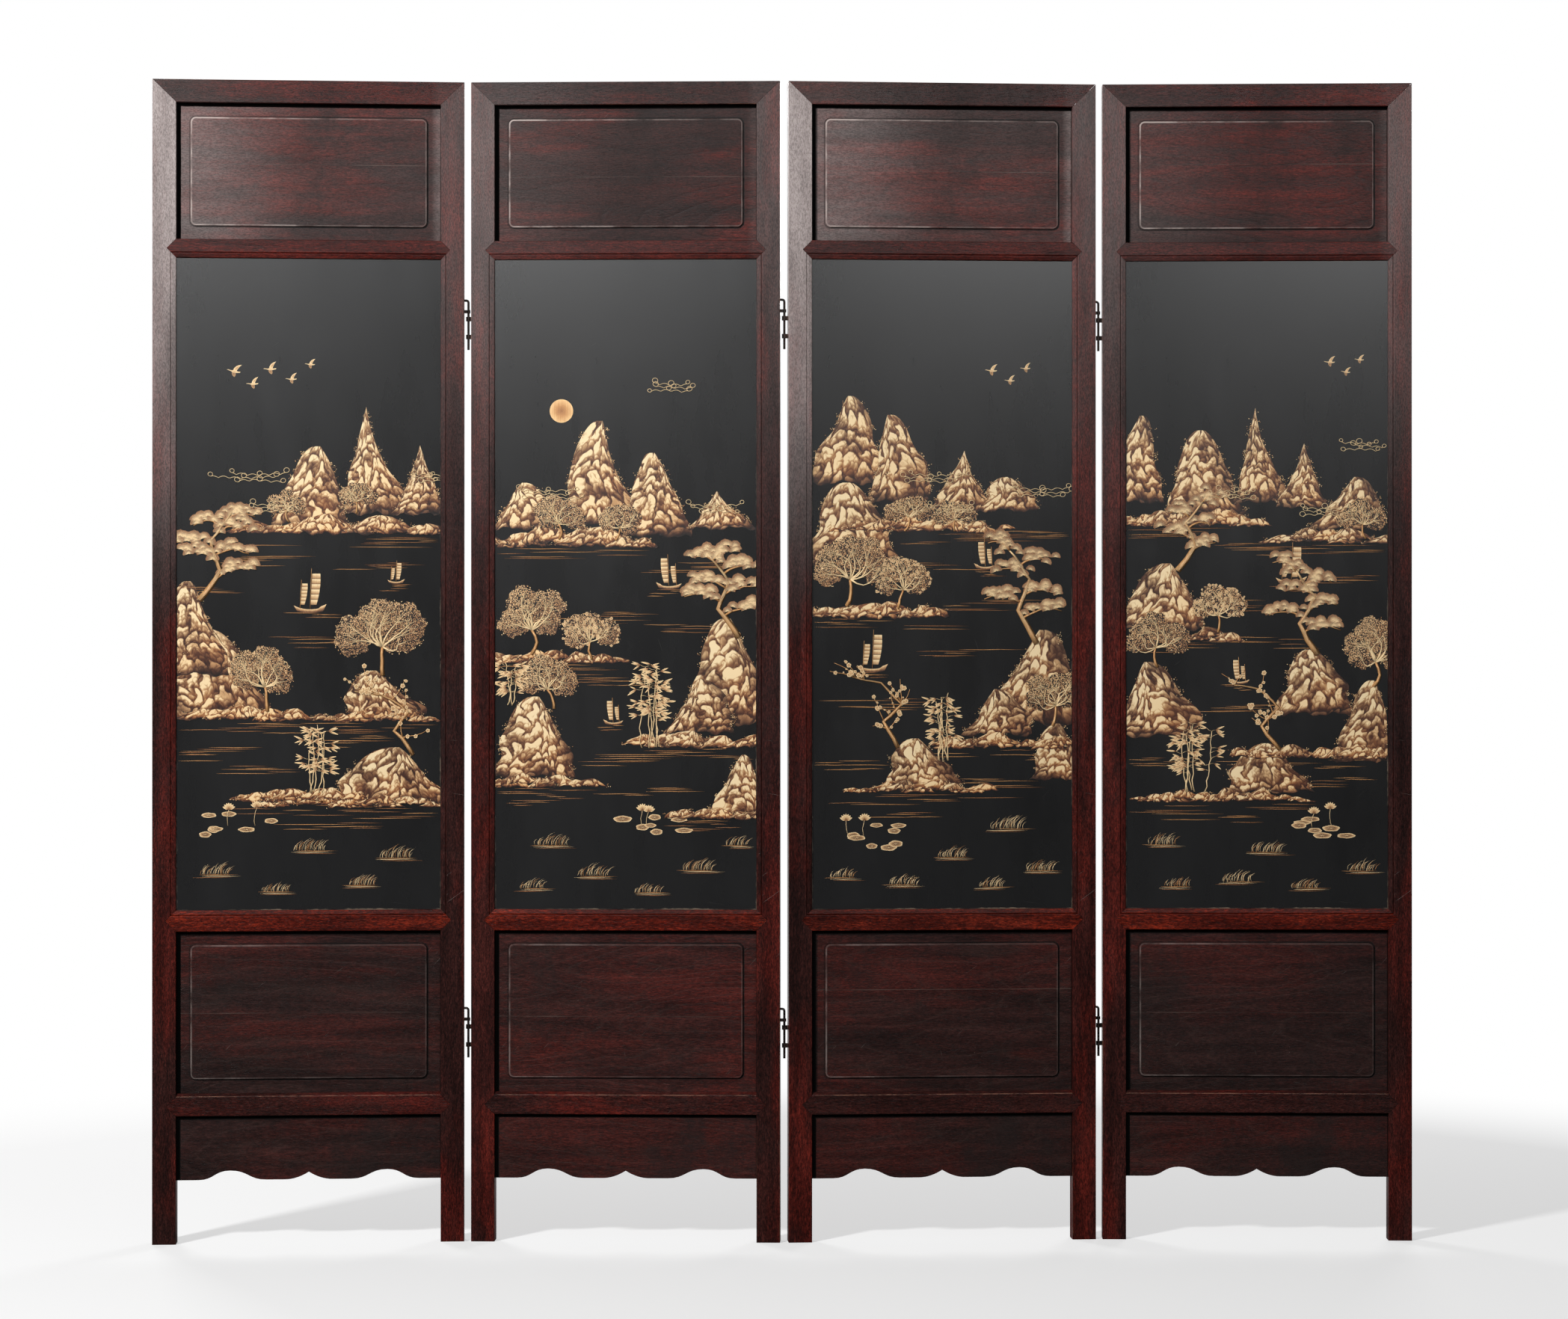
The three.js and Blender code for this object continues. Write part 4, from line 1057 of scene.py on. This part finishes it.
def addLotus(target, strokes, chance, x, z, pads):
    for k in range(pads):
        at = Vector((x + chance.uniform(-1, 1) * pads * 7, z + chance.uniform(-1, 1) * pads * 2.4))
        wide, tall = chance.uniform(9, 15), chance.uniform(3.4, 5.5)
        if not wide + 4 < at.x < fieldWidth - wide - 4:
            continue
        level = relief["lotus"] + 0.02 * k
        bm, gilt, warm, brush = newShape()
        addDisc(bm, 18)
        bmesh.ops.subdivide_edges(bm, edges=[edge for edge in bm.edges if not edge.is_boundary], cuts=1)
        for vert in bm.verts:
            far, angle = vert.co.length, math.atan2(vert.co.y, vert.co.x)
            wave = 1 + 0.06 * math.sin(5 * angle + k) * far
            vert[gilt], vert[warm], vert[brush] = 0.22 + 0.72 * far ** 2, 0.3, (angle * 9, far * 8, k)
            vert.co = (at.x + vert.co.x * wide * wave, -level, at.y + vert.co.y * tall * wave)
        closeUnder(bm)
        lay(target, bm)
        for i in range(9):
            angle = i * 0.7 + 0.2
            end = at + Vector((math.cos(angle) * wide * 0.86, math.sin(angle) * tall * 0.86))
            strokes["bright"].append(([at, end], [0.16, 0.1], level + 0.1))
    for _ in range(max(1, pads // 3)):
        foot = Vector((x + chance.uniform(-1, 1) * pads * 4, z))
        top = foot + Vector((chance.uniform(-6, 6), chance.uniform(22, 34)))
        strokes["bright"].append((bend(chance, foot, top, 2, 5), [0.4] * 5, 0.3))
        for i, turn in enumerate((-1.15, 1.15, -0.75, 0.75, -0.36, 0.36, 0.0)):
            stamp(target, bambooLeaf, onField(*top, 0.85, turn, 0.4 + 0.02 * i) @ Matrix.Diagonal((2.3, 1, 1, 1)))


def addReeds(target, strokes, chance, x, z, count, height):
    # tuft of blades that bow to one side, over broken water
    blades = count * 2
    for i in range(blades):
        foot = Vector((x + (i / blades - 0.5) * count * 3.6 + chance.uniform(-2, 2), z + chance.uniform(-1.5, 1.5)))
        tall = height * chance.uniform(0.45, 1.0) * (1.15 - 0.9 * abs(i / blades - 0.5))
        tip = foot + Vector((chance.uniform(0.2, 0.95) * tall, tall))
        blade = bend(chance, foot, tip, chance.uniform(0.14, 0.3) * tall, 6)
        tone = chance.choice(("bright", "pale", "copper"))
        strokes[tone].append((blade, [0.3, 0.3, 0.27, 0.22, 0.16, 0.06], relief["reed"]))
    for k, tone in enumerate(("copper", "bright", "dull")):
        strokes[tone].append(waterLine(chance, x + chance.uniform(-6, 14), z - 1 - 2.1 * k, count * 4.8))


def strokesInto(target, strokes):
    for tone, lines in strokes.items():
        curve = bpy.data.curves.new("strokes", "CURVE")
        curve.dimensions = "3D"
        curve.bevel_depth, curve.bevel_resolution, curve.use_fill_caps = 1.0, 0, True
        for points, radii, _ in lines:
            spline = curve.splines.new("POLY")
            spline.points.add(len(points) - 1)
            for point, place, radius in zip(spline.points, points, radii):
                point.co = (place[0], 0, place[1], 1)
                point.radius = radius
        holder = bpy.data.objects.new("strokes", curve)
        mesh = bpy.data.meshes.new_from_object(holder)
        bpy.data.objects.remove(holder)
        bm, gilt, warm, brush = newShape()
        bm.from_mesh(mesh)
        bpy.data.meshes.remove(mesh)
        # the strokes' end caps come first, last stroke first, and then their rings of four
        levels = [level for _, _, level in reversed(lines) for _ in range(8)]
        levels += [level for points, _, level in lines for _ in range(4 * len(points))]
        for vert, level in zip(bm.verts, levels, strict=True):
            vert[gilt], vert[warm] = strokeTones[tone]
            vert[brush] = (vert.co.x, vert.co.z, level)
            vert.co.y = vert.co.y * strokeFlat - level
        bmesh.ops.remove_doubles(bm, verts=bm.verts, dist=0.0008)
        lay(target, bm)


pictures = {
    "leaf_1": {
        "mountains": [((312, 812), 246, 372, 640, 1.25, 15), ((388, 750), 346, 434, 640, 1.1, 13),
                      ((222, 748), 160, 292, 622, 0.62, 16), ((60, 452), -30, 150, 318, 0.6, 16),
                      ((24, 530), -30, 78, 380, 0.55, 15), ((322, 386), 262, 400, 316, 0.6, 13),
                      ((352, 262), 250, 440, 176, 0.6, 14)],
        "banks": [(120, 424, 606, 30), (0, 196, 306, 26), (232, 424, 306, 20), (96, 300, 176, 22),
                  (150, 424, 168, 18)],
        "clouds": [(118, 690, 110), (150, 640, 70), (408, 690, 60)],
        "geese": [(92, 868, 0.8), (122, 848, 0.7), (150, 872, 0.75), (184, 856, 0.65), (214, 880, 0.6)],
        "boats": [(214, 482, 1.15, False), (352, 528, 0.6, False)],
        "pines": [([(36, 500), (70, 548), (56, 596), (88, 640)], 7, 66)],
        "trees": [((330, 378), 137, 151, 12), ((288, 640), 56, 70, 7), ((180, 626), 54, 68, 7),
                  ((146, 320), 117, 120, 10)],
        "plums": [([(380, 250), (350, 288), (372, 318), (330, 346), (286, 352)], 16)],
        "bamboo": [(222, 190, 5, 112)],
        "lotus": [(100, 136, 8)],
        "reeds": [(214, 96, 14, 22), (62, 58, 13, 20), (352, 84, 14, 20), (298, 40, 12, 18), (160, 30, 12, 16)],
        "water": [(120, 570, 120, 6), (320, 560, 100, 5), (60, 520, 70, 4), (250, 440, 150, 6), (300, 280, 120, 6),
                  (60, 262, 120, 7), (150, 232, 130, 5), (250, 140, 140, 5)],
    },
    "leaf_2": {
        "sun": [(108, 806, 19)],
        "mountains": [((176, 790), 116, 236, 622, 0.55, 17), ((256, 738), 204, 318, 604, 0.6, 16),
                      ((360, 676), 306, 424, 616, 1.15, 12), ((46, 690), -10, 104, 616, 0.7, 13),
                      ((388, 470), 306, 450, 300, 0.55, 17), ((330, 372), 280, 398, 286, 0.6, 13),
                      ((70, 344), -10, 134, 214, 0.6, 15), ((404, 250), 340, 440, 150, 0.6, 14)],
        "banks": [(0, 250, 588, 28), (236, 424, 264, 24), (0, 214, 400, 20), (0, 160, 200, 22), (296, 424, 148, 18)],
        "clouds": [(92, 664, 110), (352, 640, 90), (290, 836, 70)],
        "boats": [(282, 520, 0.9, True), (192, 300, 0.7, True)],
        "pines": [([(396, 440), (362, 486), (380, 530), (344, 576)], 7, 70)],
        "trees": [((104, 598), 76, 91, 8), ((196, 596), 61, 78, 7), ((60, 412), 117, 127, 11),
                  ((158, 404), 85, 96, 9, 0.25), ((96, 324), 93, 109, 9)],
        "bamboo": [(250, 262, 6, 130), (30, 330, 3, 80)],
        "lotus": [(262, 134, 8)],
        "reeds": [(92, 104, 14, 20), (160, 54, 13, 20), (330, 64, 14, 20), (392, 104, 10, 18), (60, 34, 11, 16),
                  (248, 28, 12, 16)],
        "water": [(330, 560, 120, 6), (180, 480, 150, 6), (300, 460, 90, 5), (200, 374, 140, 6), (60, 384, 80, 4),
                  (180, 250, 140, 6), (240, 196, 140, 5), (60, 176, 90, 4)],
    },
    "leaf_3": {
        "mountains": [((60, 830), -20, 116, 690, 0.55, 17), ((128, 800), 80, 190, 660, 0.6, 16),
                      ((64, 690), -20, 140, 560, 0.55, 17), ((246, 742), 186, 300, 646, 1.2, 13),
                      ((318, 700), 268, 372, 646, 0.9, 12), ((364, 452), 286, 450, 300, 0.55, 17),
                      ((300, 356), 240, 360, 282, 0.6, 13), ((176, 276), 110, 250, 196, 0.6, 13),
                      ((404, 300), 350, 440, 210, 0.6, 14)],
        "banks": [(40, 320, 612, 22), (0, 206, 474, 24), (214, 424, 262, 22), (60, 300, 190, 18)],
        "clouds": [(196, 690, 100), (384, 668, 90), (226, 640, 70)],
        "geese": [(292, 872, 0.7), (322, 856, 0.6), (348, 876, 0.6)],
        "boats": [(282, 552, 0.8, True), (98, 386, 1.1, False)],
        "pines": [([(366, 430), (336, 484), (354, 534), (322, 580)], 6, 62)],
        "trees": [((150, 612), 66, 83, 8), ((232, 612), 54, 73, 7), ((56, 490), 127, 135, 11),
                  ((140, 486), 90, 104, 9, 0.2), ((392, 296), 98, 114, 9)],
        "plums": [([(140, 262), (116, 304), (146, 332), (112, 366), (72, 374)], 14)],
        "bamboo": [(212, 240, 5, 110)],
        "lotus": [(92, 118, 8)],
        "reeds": [(318, 130, 14, 22), (228, 84, 13, 20), (372, 62, 13, 18), (150, 40, 13, 18), (50, 52, 11, 16),
                  (292, 36, 11, 16)],
        "water": [(360, 612, 110, 5), (200, 560, 130, 6), (280, 500, 130, 6), (250, 420, 120, 5), (110, 340, 150, 7),
                  (60, 240, 120, 6), (300, 210, 110, 5), (160, 156, 120, 4)],
    },
    "leaf_4": {
        "mountains": [((20, 800), -40, 66, 660, 0.6, 15), ((128, 776), 70, 196, 640, 0.6, 17),
                      ((216, 812), 164, 262, 660, 1.25, 14), ((286, 754), 246, 334, 652, 1.1, 13),
                      ((366, 700), 300, 424, 616, 0.6, 15), ((66, 560), -10, 146, 452, 0.58, 16),
                      ((36, 400), -30, 118, 280, 0.58, 16), ((300, 420), 236, 372, 316, 0.58, 16),
                      ((394, 370), 340, 440, 240, 0.58, 15), ((226, 268), 160, 300, 190, 0.62, 13)],
        "banks": [(0, 220, 622, 26), (236, 424, 594, 22), (0, 180, 436, 20), (190, 424, 246, 24), (20, 300, 174, 20)],
        "clouds": [(176, 664, 90), (384, 742, 80), (320, 636, 80)],
        "geese": [(330, 886, 0.65), (356, 870, 0.55), (378, 890, 0.55)],
        "boats": [(268, 528, 1.1, False), (184, 366, 0.7, True)],
        "pines": [([(84, 548), (112, 588), (96, 626), (124, 660)], 5, 48),
                  ([(310, 412), (282, 462), (306, 506), (276, 548)], 6, 62)],
        "trees": [((388, 600), 68, 86, 8), ((150, 448), 81, 96, 8, 0.25), ((400, 360), 117, 125, 10),
                  ((52, 392), 93, 109, 9)],
        "plums": [([(250, 258), (220, 296), (248, 326), (214, 356), (176, 362)], 12)],
        "bamboo": [(112, 190, 6, 110)],
        "lotus": [(316, 132, 7)],
        "reeds": [(228, 92, 14, 20), (60, 104, 12, 20), (382, 62, 12, 18), (180, 44, 13, 18), (290, 34, 12, 16),
                  (84, 36, 11, 16)],
        "water": [(200, 592, 110, 5), (360, 540, 100, 5), (160, 500, 120, 6), (230, 440, 130, 6), (200, 330, 110, 5),
                  (60, 244, 110, 6), (350, 212, 110, 5), (150, 150, 120, 4)],
    },
}
# added in this order, which decides the random draws
makers = {
    "geese": addGoose, "boats": addBoat, "banks": addBank, "trees": addTree, "clouds": addCloud, "pines": addPine,
    "plums": addPlum, "bamboo": addBamboo, "lotus": addLotus, "reeds": addReeds, "water": addWater,
}


def paintLeaf(leaf, picture, seed):
    chance = random.Random(seed)
    target = newShape()[0]
    strokes = {tone: [] for tone in strokeTones}
    for sun in picture.get("sun", ()):
        addSun(target, *sun)
    for index, mountain in enumerate(picture["mountains"]):
        level = relief["mountain"] + relief["mountainStep"] * index
        addShrubs(target, chance, addMountain(target, chance, *mountain, level=level))
    for kind, add in makers.items():
        for place in picture.get(kind, ()):
            add(target, strokes, chance, *place)
    strokesInto(target, strokes)
    # what runs past the board's sides is cut off there, and the cuts are closed
    for x, way in ((1.0, -1), (fieldWidth - 1.0, 1)):
        cut = bmesh.ops.bisect_plane(target, geom=target.verts[:] + target.edges[:] + target.faces[:], dist=1e-5,
                                     plane_co=(x, 0, 0), plane_no=(way, 0, 0), clear_outer=True)["geom_cut"]
        bmesh.ops.holes_fill(target, edges=[item for item in cut if isinstance(item, bmesh.types.BMEdge)], sides=0)

    mesh = bpy.data.meshes.new(leaf + "_gilding")
    target.to_mesh(mesh)
    target.free()
    corner = Vector((leafSize["stile"], leafSize["boardFace"], leafSize["boardLow"])) * mm
    mesh.transform(Matrix.Translation(corner) @ Matrix.Scale(mm, 4))
    addAttribute(mesh, "leafPlace", [c for v in mesh.vertices for c in v.co])
    mesh.transform(leafPlace[leaf])
    for material in gildings:
        mesh.materials.append(material)
    piece = bpy.data.objects.new(leaf + "_gilding", mesh)
    scene.collection.objects.link(piece)
    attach(piece, leaf)
    print(leaf, "painted,", sum(len(p.vertices) - 2 for p in mesh.polygons), "triangles")


for index, leafName in enumerate(leafNames):
    paintLeaf(leafName, pictures[leafName], 301 + index)

# ironwork

for nodeName, node in frame["nodes"].items():
    if "hinge" in nodeName:
        node.data.materials.clear()
        node.data.materials.append(iron)

# floor, light and camera

white = (1, 1, 1)
stageLook = {"floor": 60.0, "floorColour": (0.86, 0.86, 0.86), "bounceColour": (0.22, 0.22, 0.22), "shadowShare": 0.5}
lampLook = {
    "key": {"at": (-3.6, -4.6, 3.9), "size": (0.6, 0.6), "power": 420},
    "left": {"at": (-1.5, -5.5, 3.2), "size": (1.3, 1.2), "power": 105, "sheenOnly": True},
    "right": {"at": (1.5, -5.5, 3.2), "size": (1.3, 1.2), "power": 95, "sheenOnly": True},
    "backLeft": {"at": (-2.6, 5.0, 3.4), "size": (1.5, 1.5), "power": 150},
    "backRight": {"at": (2.2, 5.5, 2.8), "size": (1.5, 1.5), "power": 120},
}
worldLook = {"ambient": 0.13, "front": 0.04}
cameraLook = {"at": (-0.13, -6.0, 0.93), "lookAt": (0.0, 0.0, 0.941), "lens": 85.0, "sensor": 36, "reach": 200}


def makeFloor():
    material, tree, shader = newMaterial("paleFloor")
    path, place = put(tree, "LightPath"), put(tree, "TexCoord")["Object"]
    # pale to the eye, but it throws little light back up at the screen
    colour = mixColour(tree, path["Is Camera Ray"], stageLook["bounceColour"], stageLook["floorColour"])
    plug(tree, shader.inputs, {"Base Color": colour, "Roughness": 0.9, "Specular IOR Level": 0.0})
    behind = place.parts()[1].spread(0.0, 1.5)
    mirrored = path["Is Glossy Ray"].atLeast(path["Is Transmission Ray"])
    seen = path["Is Camera Ray"].atLeast(mirrored * behind)
    share = place.length().spread(1.1, 2.6).atLeast(stageLook["shadowShare"])
    glow = put(tree, "Emission", {"Color": white, "Strength": 1.0})[0]
    mixed = put(tree, "MixShader", {0: seen * share, 1: Signal(tree, shader.outputs[0]), 2: glow})[0]
    plug(tree, tree.nodes["Material Output"].inputs, {"Surface": mixed})
    bm = bmesh.new()
    bmesh.ops.create_grid(bm, x_segments=2, y_segments=2, size=stageLook["floor"] / 2)
    mesh = bpy.data.meshes.new("floor")
    bm.to_mesh(mesh)
    bm.free()
    mesh.materials.append(material)
    floor = bpy.data.objects.new("floor", mesh)
    scene.collection.objects.link(floor)


def makeWorld():
    world = bpy.data.worlds.new("studio")
    scene.world = world
    world.use_nodes = True
    tree = world.node_tree
    sky = tree.nodes["Background"]
    plug(tree, sky.inputs, {"Color": white, "Strength": 1.0})
    path = put(tree, "LightPath")
    # behind the screen the room is white; the side the lamps stand on is dim
    brightness = put(tree, "TexCoord")["Generated"].parts()[1].spread(-0.35, 0.25, worldLook["front"], 1.0)
    mirrored = put(tree, "Background", {"Color": white, "Strength": brightness})[0]
    ambient = put(tree, "Background", {"Color": white, "Strength": worldLook["ambient"]})[0]
    glossy = path["Is Glossy Ray"].atLeast(path["Is Transmission Ray"])
    plain = put(tree, "MixShader", {0: glossy, 1: ambient, 2: mirrored})[0]
    seen = put(tree, "MixShader", {0: path["Is Camera Ray"], 1: plain, 2: Signal(tree, sky.outputs[0])})[0]
    plug(tree, tree.nodes["World Output"].inputs, {"Surface": seen})


def linkAimed(name, data, place, target):
    obj = bpy.data.objects.new(name, data)
    scene.collection.objects.link(obj)
    obj.location = place
    obj.rotation_euler = (Vector(target) - obj.location).to_track_quat("-Z", "Y").to_euler()
    return obj


def makeLamps():
    for name, lamp in lampLook.items():
        data = bpy.data.lights.new(name, "AREA")
        data.shape = "RECTANGLE"
        data.size, data.size_y = lamp["size"]
        data.energy = lamp["power"]
        obj = linkAimed(name, data, lamp["at"], (0, 0, 1.0))
        obj.visible_diffuse = not lamp.get("sheenOnly", False)


def makeCamera():
    data = bpy.data.cameras.new("camera")
    data.lens, data.sensor_width, data.clip_end = cameraLook["lens"], cameraLook["sensor"], cameraLook["reach"]
    scene.camera = linkAimed("camera", data, cameraLook["at"], cameraLook["lookAt"])


makeFloor()
makeWorld()
makeLamps()
makeCamera()
scene.view_settings.view_transform = "Standard"
